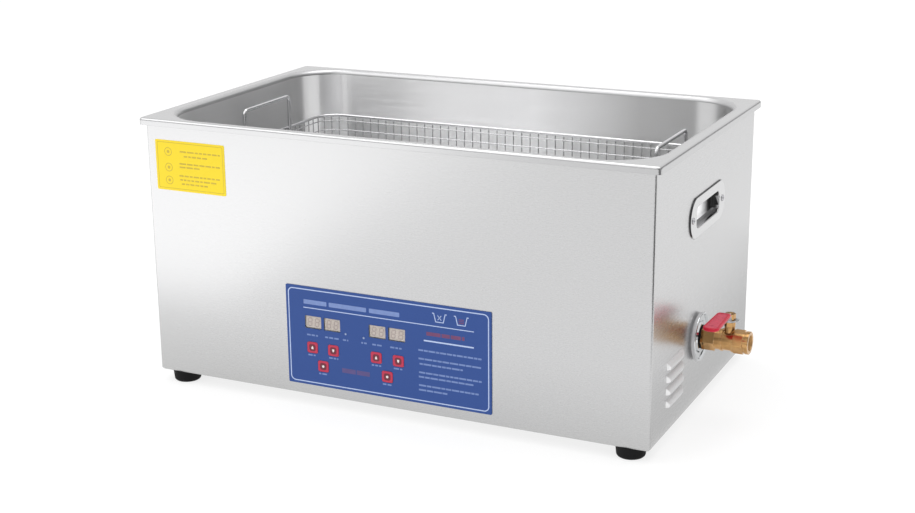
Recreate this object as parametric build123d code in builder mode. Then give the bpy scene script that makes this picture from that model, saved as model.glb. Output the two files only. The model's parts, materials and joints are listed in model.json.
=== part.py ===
"""Bench-top ultrasonic cleaner: a heated steel tank in a sheet casing, with a wire basket and a drain valve.

Units are millimetres. +Z is up, the front (control panel) faces -Y, and the drain valve is on the +X side.
The origin is on the ground, at the centre of the footprint.
"""

from build123d import *
import math
import os

os.makedirs("parts", exist_ok=True)

# ---- Driving dimensions -------------------------------------------------------------------------------

SHEET = 1.0  # stainless sheet thickness
TOTAL_H = 272.0  # ground to the top of the tank rim
CASE_Z = 12.0  # ground to the underside of the casing
CASE_W, CASE_D = 520.0, 310.0
CASE_BEND = 2.5  # outer radius of the casing's vertical bends
RETURN_W = 14.0  # flanges folded inwards at the casing's rear and bottom edges

RIM_W, RIM_D = 530.0, 320.0
RIM_CORNER = 4.0
LIP_H = 7.0  # height of the rim's turned-down edge

TANK_W, TANK_D, TANK_DEPTH = 500.0, 298.0, 150.0
TANK_CORNER = 50.0
TANK_FLOOR_R = 20.0
TANK_MOUTH_R = 5.0  # rounding where the rim turns down into the tank

GAP = 0.05  # running clearance
LAYER_GAP = 0.3  # air between neighbouring wires of the basket

# ---- Levels and planes that follow from them ----------------------------------------------------------

FRONT_Y = -CASE_D / 2
REAR_Y = CASE_D / 2
SIDE_X = CASE_W / 2
TANK_FLOOR_Z = TOTAL_H - TANK_DEPTH
TANK_UNDER_Z = TANK_FLOOR_Z - SHEET
BASE_TOP_Z = CASE_Z + SHEET  # the base plate closes the casing from below
CASE_TOP_Z = TOTAL_H - SHEET  # the casing's upper edge butts against the tank rim

FRONT = Plane.XZ.offset(-FRONT_Y)  # outward normal -Y, local x is X and local y is Z
REAR = Plane(origin=(0, REAR_Y, 0), x_dir=(-1, 0, 0), z_dir=(0, 1, 0))
RIGHT = Plane.YZ.offset(SIDE_X)  # outward normal +X, local x is Y and local y is Z

HEAD_DOWN, HEAD_REAR = (180, 0, 0), (-90, 0, 0)
HEAD_RIGHT, HEAD_LEFT = (0, 90, 0), (0, -90, 0)


def write(builder, name):
    """Labels a finished piece and writes it as its own STEP file."""
    builder.part.label = name
    export_step(builder.part, f"parts/{name}.step")


def pan_screw(shank_r, length):
    """A pan-head cross-recess screw: its head stands on the XY plane and its shank runs down from it."""
    head_r, head_h = 2.1 * shank_r, 0.65 * shank_r
    with BuildPart() as screw:
        Cylinder(head_r, head_h, align=(Align.CENTER, Align.CENTER, Align.MIN))
        fillet(screw.edges().group_by(Axis.Z)[-1], 0.6 * head_h)
        with BuildSketch(Plane.XY.offset(head_h)):
            Rectangle(1.1 * head_r, 0.25 * head_r)
            Rectangle(0.25 * head_r, 1.1 * head_r)
        extrude(amount=-0.6 * head_h, mode=Mode.SUBTRACT)
        Cylinder(shank_r, length, align=(Align.CENTER, Align.CENTER, Align.MAX))
    return screw.part


def screws_at(screw, places):
    """The same screw at every (position, rotation) in places, as one group of separate solids."""
    with BuildPart() as group:
        with Locations(*[Location(position, turn) for position, turn in places]):
            add(screw)
    return group


# ---- Tank: deep-drawn bowl with a flat rim and a turned-down lip ---------------------------------------

DRAIN_X, VALVE_Y = 207.0, -22.0
DRAIN_HOLE_R = 10.0

with BuildPart() as tank_cavity:
    with BuildSketch(Plane.XY.offset(TANK_FLOOR_Z)):
        RectangleRounded(TANK_W, TANK_D, TANK_CORNER)
    extrude(amount=TANK_DEPTH + 1)
    fillet(tank_cavity.edges().group_by(Axis.Z)[0], TANK_FLOOR_R)

with BuildPart() as tank:
    with BuildSketch(Plane.XY.offset(TOTAL_H - SHEET)):
        RectangleRounded(RIM_W, RIM_D, RIM_CORNER)
    extrude(amount=SHEET)
    with BuildSketch(Plane.XY.offset(TANK_UNDER_Z)):
        RectangleRounded(TANK_W + 2 * SHEET, TANK_D + 2 * SHEET, TANK_CORNER + SHEET)
    extrude(amount=TANK_DEPTH)
    fillet(tank.edges().group_by(Axis.Z)[0], TANK_FLOOR_R + SHEET)
    mouth = tank.edges().filter_by(
        lambda e: abs(e.center().Z - (TOTAL_H - SHEET)) < 0.01
        and abs(e.center().X) < TANK_W / 2 + 2
        and abs(e.center().Y) < TANK_D / 2 + 2
    )
    fillet(mouth, TANK_MOUTH_R - SHEET)
    with BuildSketch(Plane.XY.offset(TOTAL_H - LIP_H)):
        RectangleRounded(RIM_W, RIM_D, RIM_CORNER)
        RectangleRounded(RIM_W - 2 * SHEET, RIM_D - 2 * SHEET, RIM_CORNER - SHEET, mode=Mode.SUBTRACT)
    extrude(amount=LIP_H - SHEET)
    add(tank_cavity.part, mode=Mode.SUBTRACT)
    opening = tank.edges().filter_by(
        lambda e: abs(e.center().Z - TOTAL_H) < 0.01 and abs(e.center().X) < TANK_W / 2 + 1
        and abs(e.center().Y) < TANK_D / 2 + 1
    )
    fillet(opening, TANK_MOUTH_R)
    lip_inner = tank.edges().filter_by(
        lambda e: abs(e.center().Z - (TOTAL_H - SHEET)) < 0.01
        and (abs(e.center().X) > TANK_W / 2 + 8 or abs(e.center().Y) > TANK_D / 2 + 8)
    )
    fillet(lip_inner, 1.5)
    fillet(tank.edges().group_by(Axis.Z)[-1].filter_by(
        lambda e: abs(e.center().X) > TANK_W / 2 + 10 or abs(e.center().Y) > TANK_D / 2 + 10), 2.5)
    with Locations((DRAIN_X, VALVE_Y, TANK_FLOOR_Z)):
        Cylinder(DRAIN_HOLE_R, 4 * SHEET, mode=Mode.SUBTRACT)
write(tank, "tank")


# ---- Casing: a wrap of front and sides, a flat rear panel and a base plate ------------------------------

OVERLAY_W, OVERLAY_Z0, OVERLAY_Z1 = 216.0, 22.5, 122.0
OVERLAY_T = 1.0
WINDOW_W, WINDOW_H, WINDOW_Z = 17.6, 12.5, 86.75
WINDOW_X = (-78.8, -58.2, -9.6, 11.0)
KEY_W, KEY_H, KEY_GAP = 11.5, 11.0, 0.25
KEY_STEM_R, KEY_TIP_R = 2.5, 1.7
KEYS = ((-80.3, 61.2), (-57.4, 61.2), (-69.0, 43.5), (-11.1, 61.0), (12.3, 61.0), (0.3, 43.5))
LEDS = ((-43.6, 79.9), (-24.2, 78.7))

HANDLE_Y, HANDLE_Z = -3.0, 197.6
HANDLE_L, HANDLE_STRAIGHT, HANDLE_H = 109.0, 78.0, 39.0
HANDLE_T, HANDLE_EDGE_R = 1.4, 0.9
GRIP_Y, GRIP_Z = -3.7, 197.5  # centre of the finger recess
GRIP_L, GRIP_H, GRIP_R = 71.6, 20.4, 6.0
GRIP_WALL = 1.2
GRIP_DEPTH = 8.0  # from the casing's outer face to the back of the finger cup
HANDLE_SCREWS = ((-50.0, 197.6), (42.6, 197.6))

LOUVRE_Y, LOUVRE_L, LOUVRE_H, LOUVRE_D = -89.0, 46.0, 6.5, 3.2
LOUVRE_Z = (38.5, 50.5, 62.5, 74.5)
LOUVRE_WALL = 0.8

VALVE_Z = 78.5
SHANK_R = 8.0  # threaded inlet shank of the drain valve

FAN_X, FAN_Z, FAN_SIZE, FAN_T = 60.0, 66.0, 80.0, 25.0
FAN_HOLE = 35.75  # half the spacing of the fan's screws
INLET_X, INLET_Z, INLET_W, INLET_H = -190.0, 70.0, 48.0, 58.0

FOOT_X, FOOT_Y = 238.0, 140.5
SCREW_R, SCREW_HOLE_R = 1.5, 1.6
FOOT_SCREW_R, FOOT_HOLE_R = 2.0, 2.1
FOOT_NOTCH_R = 3.0  # clearance for the foot screws in the casing's bottom flange
REAR_SCREWS = tuple((side * 252.0, z) for side in (-1, 1) for z in (40.0, 140.0, 240.0))
BASE_SCREWS = tuple((side * 252.0, y) for side in (-1, 1) for y in (-95.0, 0.0, 95.0)) + tuple(
    (x, y) for x in (-150.0, 150.0) for y in (-148.0, 147.0))


def louvre(length, height, depth, back):
    """A rounded hood on the YZ plane: bulges to +X, is closed above and at its ends, and stands on z = 0."""
    straight = length - 4 * depth
    bow_x, bow_y = 0.72 * depth, length / 2 - 0.6 * depth
    with BuildPart() as hood:
        with BuildSketch(Plane.XZ):
            with BuildLine():
                Polyline((0, height), (-back, height), (-back, 0), (depth, 0))
                ThreePointArc((depth, 0), (bow_x, 0.62 * height), (0, height))
            make_face()
        extrude(amount=length / 2, both=True)
        with BuildSketch(Plane.XY):
            with BuildLine():
                Polyline((0, length / 2), (-back, length / 2), (-back, -length / 2), (0, -length / 2))
                ThreePointArc((0, -length / 2), (bow_x, -bow_y), (depth, -straight / 2))
                Line((depth, -straight / 2), (depth, straight / 2))
                ThreePointArc((depth, straight / 2), (bow_x, bow_y), (0, length / 2))
            make_face()
        extrude(amount=height, mode=Mode.INTERSECT)
    return hood.part


louvre_outside = louvre(LOUVRE_L, LOUVRE_H, LOUVRE_D, 0.5 * SHEET)
louvre_inside = louvre(
    LOUVRE_L - 2 * LOUVRE_WALL, LOUVRE_H - LOUVRE_WALL, LOUVRE_D - LOUVRE_WALL, 2 * SHEET)
louvre_places = [Location((SIDE_X, LOUVRE_Y, z)) for z in LOUVRE_Z]
louvre_places += [Location((-SIDE_X, LOUVRE_Y, z), (0, 0, 180)) for z in LOUVRE_Z]

with BuildPart() as casing_wrap:
    with BuildSketch(Plane.XY.offset(BASE_TOP_Z)):
        with Locations((0, -SHEET / 2)):
            RectangleRounded(CASE_W, CASE_D - SHEET, CASE_BEND)
            RectangleRounded(
                CASE_W - 2 * SHEET, CASE_D - 3 * SHEET, CASE_BEND - SHEET, mode=Mode.SUBTRACT)
        with Locations((0, REAR_Y)):
            Rectangle(CASE_W - 2 * RETURN_W, 6 * SHEET, mode=Mode.SUBTRACT)
    extrude(amount=CASE_TOP_Z - BASE_TOP_Z)
    with BuildSketch(Plane.XY.offset(BASE_TOP_Z)):
        with Locations((0, -SHEET / 2)):
            RectangleRounded(CASE_W, CASE_D - SHEET, CASE_BEND)
        with Locations((0, RETURN_W)):
            Rectangle(CASE_W - 2 * RETURN_W, CASE_D, mode=Mode.SUBTRACT)
    extrude(amount=SHEET)
    fillet(casing_wrap.edges().group_by(Axis.Z)[0].filter_by(
        lambda e: abs(e.center().X) > SIDE_X - 1 or abs(e.center().Y) > REAR_Y - 1.1), 0.9)
    with Locations(*louvre_places):
        add(louvre_outside)
    with Locations(*louvre_places):
        add(louvre_inside, mode=Mode.SUBTRACT)
    with BuildSketch(FRONT):
        for left, right in ((WINDOW_X[0], WINDOW_X[1]), (WINDOW_X[2], WINDOW_X[3])):
            with Locations(((left + right) / 2, WINDOW_Z)):
                RectangleRounded(right - left + WINDOW_W, WINDOW_H, 1)
        with Locations(*KEYS):
            Circle(KEY_STEM_R + 0.1)
        with Locations(*LEDS):
            Circle(1.1)
    extrude(amount=-2 * SHEET, mode=Mode.SUBTRACT)
    with BuildSketch(Plane.YZ):
        with Locations((GRIP_Y, GRIP_Z)):
            RectangleRounded(GRIP_L + 2 * GRIP_WALL + 1.6, GRIP_H + 2 * GRIP_WALL + 1.6, GRIP_R + 2)
        with Locations(*HANDLE_SCREWS):
            Circle(SCREW_HOLE_R)
    extrude(amount=CASE_W, both=True, mode=Mode.SUBTRACT)
    with BuildSketch(RIGHT):
        with Locations((VALVE_Y, VALVE_Z)):
            Circle(SHANK_R + 0.6)
    extrude(amount=-3 * SHEET, mode=Mode.SUBTRACT)
    with BuildSketch(REAR):
        with Locations(*REAR_SCREWS):
            Circle(SCREW_HOLE_R)
    extrude(amount=-3 * SHEET, mode=Mode.SUBTRACT)
    with BuildSketch(Plane.XY.offset(BASE_TOP_Z)):
        with Locations(*BASE_SCREWS):
            Circle(SCREW_HOLE_R)
        with GridLocations(2 * FOOT_X, 2 * FOOT_Y, 2, 2):
            Circle(FOOT_NOTCH_R)
    extrude(amount=2 * SHEET, mode=Mode.SUBTRACT)
write(casing_wrap, "casing_wrap")

REAR_FOLD_W = 460.0

with BuildPart() as rear_panel:
    with BuildSketch(REAR):
        with Locations((0, (BASE_TOP_Z + CASE_TOP_Z) / 2)):
            RectangleRounded(CASE_W - 4, CASE_TOP_Z - BASE_TOP_Z, 1)
        with Locations(*REAR_SCREWS):
            Circle(SCREW_HOLE_R, mode=Mode.SUBTRACT)
        with Locations((-FAN_X, FAN_Z)):
            Circle(FAN_SIZE / 2 - 3, mode=Mode.SUBTRACT)
            with GridLocations(2 * FAN_HOLE, 2 * FAN_HOLE, 2, 2):
                Circle(FOOT_HOLE_R, mode=Mode.SUBTRACT)
        with Locations((-INLET_X, INLET_Z)):
            RectangleRounded(INLET_W + 1, INLET_H + 1, 1, mode=Mode.SUBTRACT)
        with Locations((70, FAN_Z)):
            with GridLocations(40, 9, 3, 7):
                SlotOverall(30, 3.5, mode=Mode.SUBTRACT)
    extrude(amount=-SHEET)
    with Locations((0, REAR_Y - RETURN_W / 2, BASE_TOP_Z + SHEET / 2)):
        Box(REAR_FOLD_W, RETURN_W, SHEET)
    with BuildSketch(Plane.XY.offset(BASE_TOP_Z)):
        with Locations(*[place for place in BASE_SCREWS if place[1] > 140]):
            Circle(SCREW_HOLE_R)
    extrude(amount=2 * SHEET, mode=Mode.SUBTRACT)
write(rear_panel, "rear_panel")

with BuildPart() as base_plate:
    with BuildSketch(Plane.XY.offset(CASE_Z)):
        RectangleRounded(CASE_W - 3, CASE_D - 3, 2)
        with Locations(*BASE_SCREWS):
            Circle(SCREW_HOLE_R, mode=Mode.SUBTRACT)
        with GridLocations(2 * FOOT_X, 2 * FOOT_Y, 2, 2):
            Circle(FOOT_HOLE_R, mode=Mode.SUBTRACT)
        with Locations((120, 0)):
            with GridLocations(36, 12, 3, 9):
                SlotOverall(28, 4, mode=Mode.SUBTRACT)
    extrude(amount=SHEET)
write(base_plate, "base_plate")

sheet_screw = pan_screw(SCREW_R, 6.0)
casing_screws = screws_at(
    sheet_screw,
    [((x, REAR_Y, z), HEAD_REAR) for x, z in REAR_SCREWS]
    + [((x, y, CASE_Z), HEAD_DOWN) for x, y in BASE_SCREWS]
    + [((SIDE_X + HANDLE_T, y, z), HEAD_RIGHT) for y, z in HANDLE_SCREWS]
    + [((-SIDE_X - HANDLE_T, y, z), HEAD_LEFT) for y, z in HANDLE_SCREWS],
)
write(casing_screws, "casing_screws")

# ---- Feet ----------------------------------------------------------------------------------------------

FOOT_TOP_R, FOOT_BOTTOM_R = 14.3, 13.2
FOOT_HEAD_Z = 5.5  # ceiling of the foot's screw pocket

with BuildPart() as rubber_feet:
    with GridLocations(2 * FOOT_X, 2 * FOOT_Y, 2, 2):
        with Locations((0, 0, CASE_Z / 2)):
            Cone(FOOT_BOTTOM_R, FOOT_TOP_R, CASE_Z)
    fillet(rubber_feet.edges().group_by(Axis.Z)[0], 3)
    fillet(rubber_feet.edges().group_by(Axis.Z)[-1], 0.6)
    with GridLocations(2 * FOOT_X, 2 * FOOT_Y, 2, 2):
        Cylinder(5, 2 * FOOT_HEAD_Z, mode=Mode.SUBTRACT)
        Cylinder(FOOT_HOLE_R, 4 * CASE_Z, mode=Mode.SUBTRACT)
write(rubber_feet, "rubber_feet")

foot_screws = screws_at(
    pan_screw(FOOT_SCREW_R, 13.0),
    [((x, y, FOOT_HEAD_Z), HEAD_DOWN) for x in (-FOOT_X, FOOT_X) for y in (-FOOT_Y, FOOT_Y)],
)
write(foot_screws, "foot_screws")

# ---- Recessed carrying handles -------------------------------------------------------------------------

with BuildPart() as grip_cavity:
    with BuildSketch(RIGHT.offset(-GRIP_DEPTH + GRIP_WALL)):
        with Locations((GRIP_Y, GRIP_Z)):
            RectangleRounded(GRIP_L, GRIP_H, GRIP_R)
    extrude(amount=GRIP_DEPTH + HANDLE_T)
    fillet(grip_cavity.edges().group_by(Axis.X)[0], 4)

with BuildPart() as right_handle_plate:
    with BuildSketch(RIGHT):
        low, high = HANDLE_Z - HANDLE_H / 2, HANDLE_Z + HANDLE_H / 2
        near, far = HANDLE_Y - HANDLE_STRAIGHT / 2, HANDLE_Y + HANDLE_STRAIGHT / 2
        with BuildLine():
            Line((near, low), (far, low))
            ThreePointArc((far, low), (HANDLE_Y + HANDLE_L / 2, HANDLE_Z), (far, high))
            Line((far, high), (near, high))
            ThreePointArc((near, high), (HANDLE_Y - HANDLE_L / 2, HANDLE_Z), (near, low))
        make_face()
    extrude(amount=HANDLE_T)
    fillet(right_handle_plate.edges().group_by(Axis.X)[-1], HANDLE_EDGE_R)
    with BuildSketch(RIGHT.offset(-GRIP_DEPTH)):
        with Locations((GRIP_Y, GRIP_Z)):
            RectangleRounded(GRIP_L + 2 * GRIP_WALL, GRIP_H + 2 * GRIP_WALL, GRIP_R + GRIP_WALL)
    extrude(amount=GRIP_DEPTH)
    fillet(right_handle_plate.edges().group_by(Axis.X)[0], 4 + GRIP_WALL)
    add(grip_cavity.part, mode=Mode.SUBTRACT)
    fillet(right_handle_plate.edges().group_by(Axis.X)[-1].filter_by(
        lambda e: abs(e.center().Y - GRIP_Y) < GRIP_L / 2 + 1
        and abs(e.center().Z - GRIP_Z) < GRIP_H / 2 + 1), HANDLE_EDGE_R)
    with BuildSketch(RIGHT):
        with Locations(*HANDLE_SCREWS):
            Circle(SCREW_HOLE_R)
    extrude(amount=2 * HANDLE_T, mode=Mode.SUBTRACT)
write(right_handle_plate, "right_handle_plate")

with BuildPart() as left_handle_plate:
    mirror(right_handle_plate.part, about=Plane.YZ)
write(left_handle_plate, "left_handle_plate")

# ---- Drain valve: a small brass ball valve on the right side -------------------------------------------

BALL_X = 291.5
BALL_R, BALL_BORE_R = 6.5, 4.0
CAVITY_R = 7.6  # chamber around the ball
SEAT_FACE, SEAT_BORE_R = 3.6, 4.3  # how close a seat comes to the ball's centre, and its bore
SEAT_IN_X, SEAT_OUT_X = BALL_X - 7.9, BALL_X + 7.9  # outer faces of the two seats
BODY_END_X = 297.0
OUTLET_X = 311.5
OUTLET_BORE_R, OUTLET_BORE_L = 7.5, 11.0
SPIGOT_R = 8.6
STEM_R = 2.4
BOSS_TOP_Z, GLAND_TOP_Z = 92.5, 97.0
LEVER_Z, LEVER_T, LEVER_STEP, LEVER_NUT_H = 98.0, 1.5, 8.9, 5.6
HOSE_BORE_R, HOSE_R = 6.5, 8.5
HEX_X, HEX_L, BODY_X = 266.5, 12.5, 250.0
FLANGE_R, FLANGE_FACE_X = 23.3, 264.4  # the wall flange and the flat face its gasket sits on

VALVE_AXIS = Plane.YZ  # sketches for the valve are drawn on this plane, offset along +X


def along_x(radius, start, end, mode=Mode.ADD):
    """A cylinder on the valve's axis, from x = start to x = end."""
    with Locations((start, VALVE_Y, VALVE_Z)):
        Cylinder(radius, end - start, rotation=(0, 90, 0),
                 align=(Align.CENTER, Align.CENTER, Align.MIN), mode=mode)


def upright(radius, low, high, mode=Mode.ADD):
    """A cylinder on the valve stem's axis, from z = low to z = high."""
    with Locations((BALL_X, VALVE_Y, low)):
        Cylinder(radius, high - low, align=(Align.CENTER, Align.CENTER, Align.MIN), mode=mode)


with BuildPart() as valve_flange:
    with BuildSketch(Plane.XZ.offset(-VALVE_Y)):
        with BuildLine():
            Polyline((265.5, VALVE_Z + 21.4), (263.8, VALVE_Z + 20.4), (263.6, VALVE_Z + 15.4),
                     (265.4, VALVE_Z + 14.6), (265.4, VALVE_Z + 13.2), (FLANGE_FACE_X, VALVE_Z + 12.4),
                     (FLANGE_FACE_X, VALVE_Z + 8.3), (SIDE_X, VALVE_Z + 8.3),
                     (SIDE_X, VALVE_Z + FLANGE_R - 4.0), (262.0, VALVE_Z + FLANGE_R - 0.4),
                     (264.6, VALVE_Z + FLANGE_R))
            ThreePointArc((264.6, VALVE_Z + FLANGE_R), (265.6, VALVE_Z + 22.6), (265.5, VALVE_Z + 21.4))
        make_face()
    revolve(axis=Axis((0, VALVE_Y, VALVE_Z), (1, 0, 0)))
write(valve_flange, "valve_flange")

with BuildPart() as valve_gasket:
    along_x(11.3, FLANGE_FACE_X, HEX_X)
    fillet(valve_gasket.edges(), 0.5)
    along_x(SHANK_R + 0.2, 260, 270, mode=Mode.SUBTRACT)
write(valve_gasket, "valve_gasket")

with BuildPart() as valve_body:
    along_x(HOSE_BORE_R - 0.1, BODY_X - 7, BODY_X)
    along_x(SHANK_R, BODY_X, HEX_X)
    with BuildSketch(VALVE_AXIS.offset(HEX_X)):
        with Locations((VALVE_Y, VALVE_Z)):
            RegularPolygon(10.1, 6, major_radius=False, rotation=8)
    extrude(amount=HEX_L)
    along_x(10.0, HEX_X + HEX_L, 285.0)
    along_x(10.8, 284.6, 286.2)
    along_x(9.8, 286.2, BODY_END_X)
    along_x(10.9, BODY_END_X - 1.8, BODY_END_X)
    upright(4.9, VALVE_Z, BOSS_TOP_Z)
    fillet(valve_body.edges().group_by(Axis.Z)[-1], 0.5)
    along_x(BALL_BORE_R, 200, BALL_X, mode=Mode.SUBTRACT)
    along_x(CAVITY_R, SEAT_IN_X, BODY_END_X + 1, mode=Mode.SUBTRACT)
    along_x(SPIGOT_R + GAP, BODY_END_X - 2.7, BODY_END_X + 1, mode=Mode.SUBTRACT)
    upright(STEM_R + GAP, VALVE_Z, BOSS_TOP_Z + 1, mode=Mode.SUBTRACT)
    upright(3.5, BOSS_TOP_Z - 3, BOSS_TOP_Z + 1, mode=Mode.SUBTRACT)
write(valve_body, "valve_body")

with BuildPart() as valve_end_cap:
    with BuildSketch(VALVE_AXIS.offset(BODY_END_X)):
        with Locations((VALVE_Y, VALVE_Z)):
            RegularPolygon(10.5, 6, major_radius=False, rotation=8)
    extrude(amount=OUTLET_X - BODY_END_X - 5.5)
    along_x(11.5, BODY_END_X, OUTLET_X, mode=Mode.INTERSECT)
    along_x(9.9, OUTLET_X - 5.5, OUTLET_X - 3.5)
    along_x(10.9, OUTLET_X - 3.5, OUTLET_X)
    along_x(SPIGOT_R, BODY_END_X - 2.6, BODY_END_X)
    along_x(CAVITY_R, 280, SEAT_OUT_X, mode=Mode.SUBTRACT)
    along_x(5.0, 280, OUTLET_X, mode=Mode.SUBTRACT)
    along_x(OUTLET_BORE_R, OUTLET_X - OUTLET_BORE_L, OUTLET_X + 1, mode=Mode.SUBTRACT)
    chamfer(valve_end_cap.edges().group_by(Axis.X)[-1].filter_by(GeomType.CIRCLE), 0.4)
write(valve_end_cap, "valve_end_cap")

SEAT_SPHERE_R = BALL_R + GAP
seat_mouth = [math.sqrt(SEAT_SPHERE_R ** 2 - reach ** 2) for reach in (SEAT_FACE, SEAT_BORE_R)]
with BuildPart() as valve_seats:
    with BuildSketch(Plane.XZ.offset(-VALVE_Y)):
        with BuildLine():
            Polyline((BALL_X - seat_mouth[1], VALVE_Z + SEAT_BORE_R), (SEAT_IN_X, VALVE_Z + SEAT_BORE_R),
                     (SEAT_IN_X, VALVE_Z + CAVITY_R - GAP), (BALL_X - SEAT_FACE, VALVE_Z + CAVITY_R - GAP),
                     (BALL_X - SEAT_FACE, VALVE_Z + seat_mouth[0]))
            RadiusArc((BALL_X - SEAT_FACE, VALVE_Z + seat_mouth[0]),
                      (BALL_X - seat_mouth[1], VALVE_Z + SEAT_BORE_R), -SEAT_SPHERE_R)
        make_face()
    revolve(axis=Axis((0, VALVE_Y, VALVE_Z), (1, 0, 0)))
    mirror(about=Plane.YZ.offset(BALL_X))
write(valve_seats, "valve_seats")

with BuildPart() as valve_ball:
    with Locations((BALL_X, VALVE_Y, VALVE_Z)):
        Sphere(BALL_R)
        Cylinder(BALL_BORE_R, 4 * BALL_R, rotation=HEAD_REAR, mode=Mode.SUBTRACT)
    with Locations((BALL_X, VALVE_Y, VALVE_Z + BALL_R)):
        Box(4 * BALL_R, 3.0, 4.0, mode=Mode.SUBTRACT)
write(valve_ball, "valve_ball")

STEM_FOOT_Z = VALVE_Z + BALL_R - 1.9  # the stem's flattened foot ends just above the floor of the ball's slot

with BuildPart() as valve_stem:
    upright(STEM_R, STEM_FOOT_Z, LEVER_Z + LEVER_T + LEVER_NUT_H + 1.0)
    chamfer(valve_stem.edges().group_by(Axis.Z)[-1], 0.4)
    with Locations((BALL_X, VALVE_Y, STEM_FOOT_Z)):
        with GridLocations(0, 2 * (1.45 + 2), 1, 2):
            Box(8, 4, 5, mode=Mode.SUBTRACT)
write(valve_stem, "valve_stem")

with BuildPart() as gland_nut:
    with BuildSketch(Plane.XY.offset(BOSS_TOP_Z)):
        with Locations((BALL_X, VALVE_Y)):
            RegularPolygon(4.6, 6, major_radius=False, rotation=10)
    extrude(amount=GLAND_TOP_Z - BOSS_TOP_Z)
    upright(5.1, BOSS_TOP_Z, GLAND_TOP_Z, mode=Mode.INTERSECT)
    upright(3.4, BOSS_TOP_Z - 2.9, BOSS_TOP_Z)
    upright(STEM_R + GAP, 80, 100, mode=Mode.SUBTRACT)
write(gland_nut, "gland_nut")

LEVER_X, LEVER_W, LEVER_END_Y = BALL_X - 1.8, 10.0, -79.0  # the arm is cranked slightly towards the casing
SLEEVE_W0, SLEEVE_W1, SLEEVE_T, SLEEVE_Y0, SLEEVE_Y1 = 13.0, 15.6, 3.4, -35.0, -84.0
LEVER_TOP_Z = LEVER_Z + LEVER_STEP  # underside of the lever's raised part

with BuildPart() as drain_lever:
    upright(7.0, LEVER_Z, LEVER_Z + LEVER_T)
    with Locations((BALL_X + 6.0, VALVE_Y, LEVER_Z + LEVER_T / 2)):
        Box(6.0, 4.0, LEVER_T)
    with BuildSketch(Plane.YZ.offset(LEVER_X)):
        with BuildLine():
            Polyline((VALVE_Y, LEVER_Z), (-28.1, LEVER_Z), (-33.3, LEVER_TOP_Z),
                     (LEVER_END_Y, LEVER_TOP_Z), (LEVER_END_Y, LEVER_TOP_Z + LEVER_T),
                     (-32.2, LEVER_TOP_Z + LEVER_T), (-27.0, LEVER_Z + LEVER_T),
                     (VALVE_Y, LEVER_Z + LEVER_T), (VALVE_Y, LEVER_Z))
        make_face()
    extrude(amount=LEVER_W / 2, both=True)
    fillet(drain_lever.edges().filter_by(Axis.Z).group_by(Axis.Y)[0], 3)
    fillet(drain_lever.edges().filter_by(Axis.Z).group_by(Axis.X)[-1], 1)
    upright(STEM_R + 0.02, 90, LEVER_Z + 2 * LEVER_T, mode=Mode.SUBTRACT)
write(drain_lever, "drain_lever")



def sleeve_outline(inset):
    """The sleeve seen from above: it widens from the stem towards the free end."""
    near, far = SLEEVE_W0 / 2 - inset, SLEEVE_W1 / 2 - inset
    y0, y1 = SLEEVE_Y0 - inset, SLEEVE_Y1 + inset
    Polygon((LEVER_X - near, y0), (LEVER_X - far, y1), (LEVER_X + far, y1), (LEVER_X + near, y0), align=None)


with BuildPart() as lever_sleeve:
    with BuildSketch(Plane.XY.offset(LEVER_TOP_Z + LEVER_T / 2 - SLEEVE_T / 2)):
        sleeve_outline(0)
    extrude(amount=SLEEVE_T)
    fillet(lever_sleeve.edges().filter_by(Axis.Z).group_by(Axis.Y)[0], 6.5)
    fillet(lever_sleeve.edges().filter_by(Axis.Z).group_by(Axis.Y)[-1], 3)
    fillet(lever_sleeve.edges().group_by(Axis.Z)[0], 1.4)
    fillet(lever_sleeve.edges().group_by(Axis.Z)[-1], 1.0)
    with BuildSketch(Plane.XY.offset(LEVER_TOP_Z + LEVER_T / 2 + SLEEVE_T / 2)):
        sleeve_outline(2.5)
        fillet(vertices(), 3)
    extrude(amount=-0.3, mode=Mode.SUBTRACT)
    with BuildSketch(Plane.XZ.offset(-SLEEVE_Y0)):
        with Locations((LEVER_X, LEVER_TOP_Z + LEVER_T / 2)):
            Rectangle(LEVER_W + 0.1, LEVER_T + 0.1)
    extrude(amount=SLEEVE_Y0 - LEVER_END_Y + 0.2, mode=Mode.SUBTRACT)
write(lever_sleeve, "lever_sleeve")

with BuildPart() as lever_nut:
    with BuildSketch(Plane.XY.offset(LEVER_Z + LEVER_T)):
        with Locations((BALL_X, VALVE_Y)):
            RegularPolygon(4.7, 6, major_radius=False, rotation=20)
    extrude(amount=LEVER_NUT_H)
    upright(5.15, LEVER_Z + LEVER_T, LEVER_Z + LEVER_T + LEVER_NUT_H, mode=Mode.INTERSECT)
    upright(STEM_R + 0.02, 90, 110, mode=Mode.SUBTRACT)
write(lever_nut, "lever_nut")

with BuildPart() as valve_locknut:
    with BuildSketch(VALVE_AXIS.offset(SIDE_X - SHEET - 4.5)):
        with Locations((VALVE_Y, VALVE_Z)):
            RegularPolygon(11, 6, major_radius=False)
            Circle(SHANK_R + GAP, mode=Mode.SUBTRACT)
    extrude(amount=4.5)
write(valve_locknut, "valve_locknut")

# ---- Drain plumbing under the tank ---------------------------------------------------------------------

SPUD_R = 9.9
SPUD_NUT_T, GASKET_T = 6.0, 1.5
BEND_R = 18.0

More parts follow.
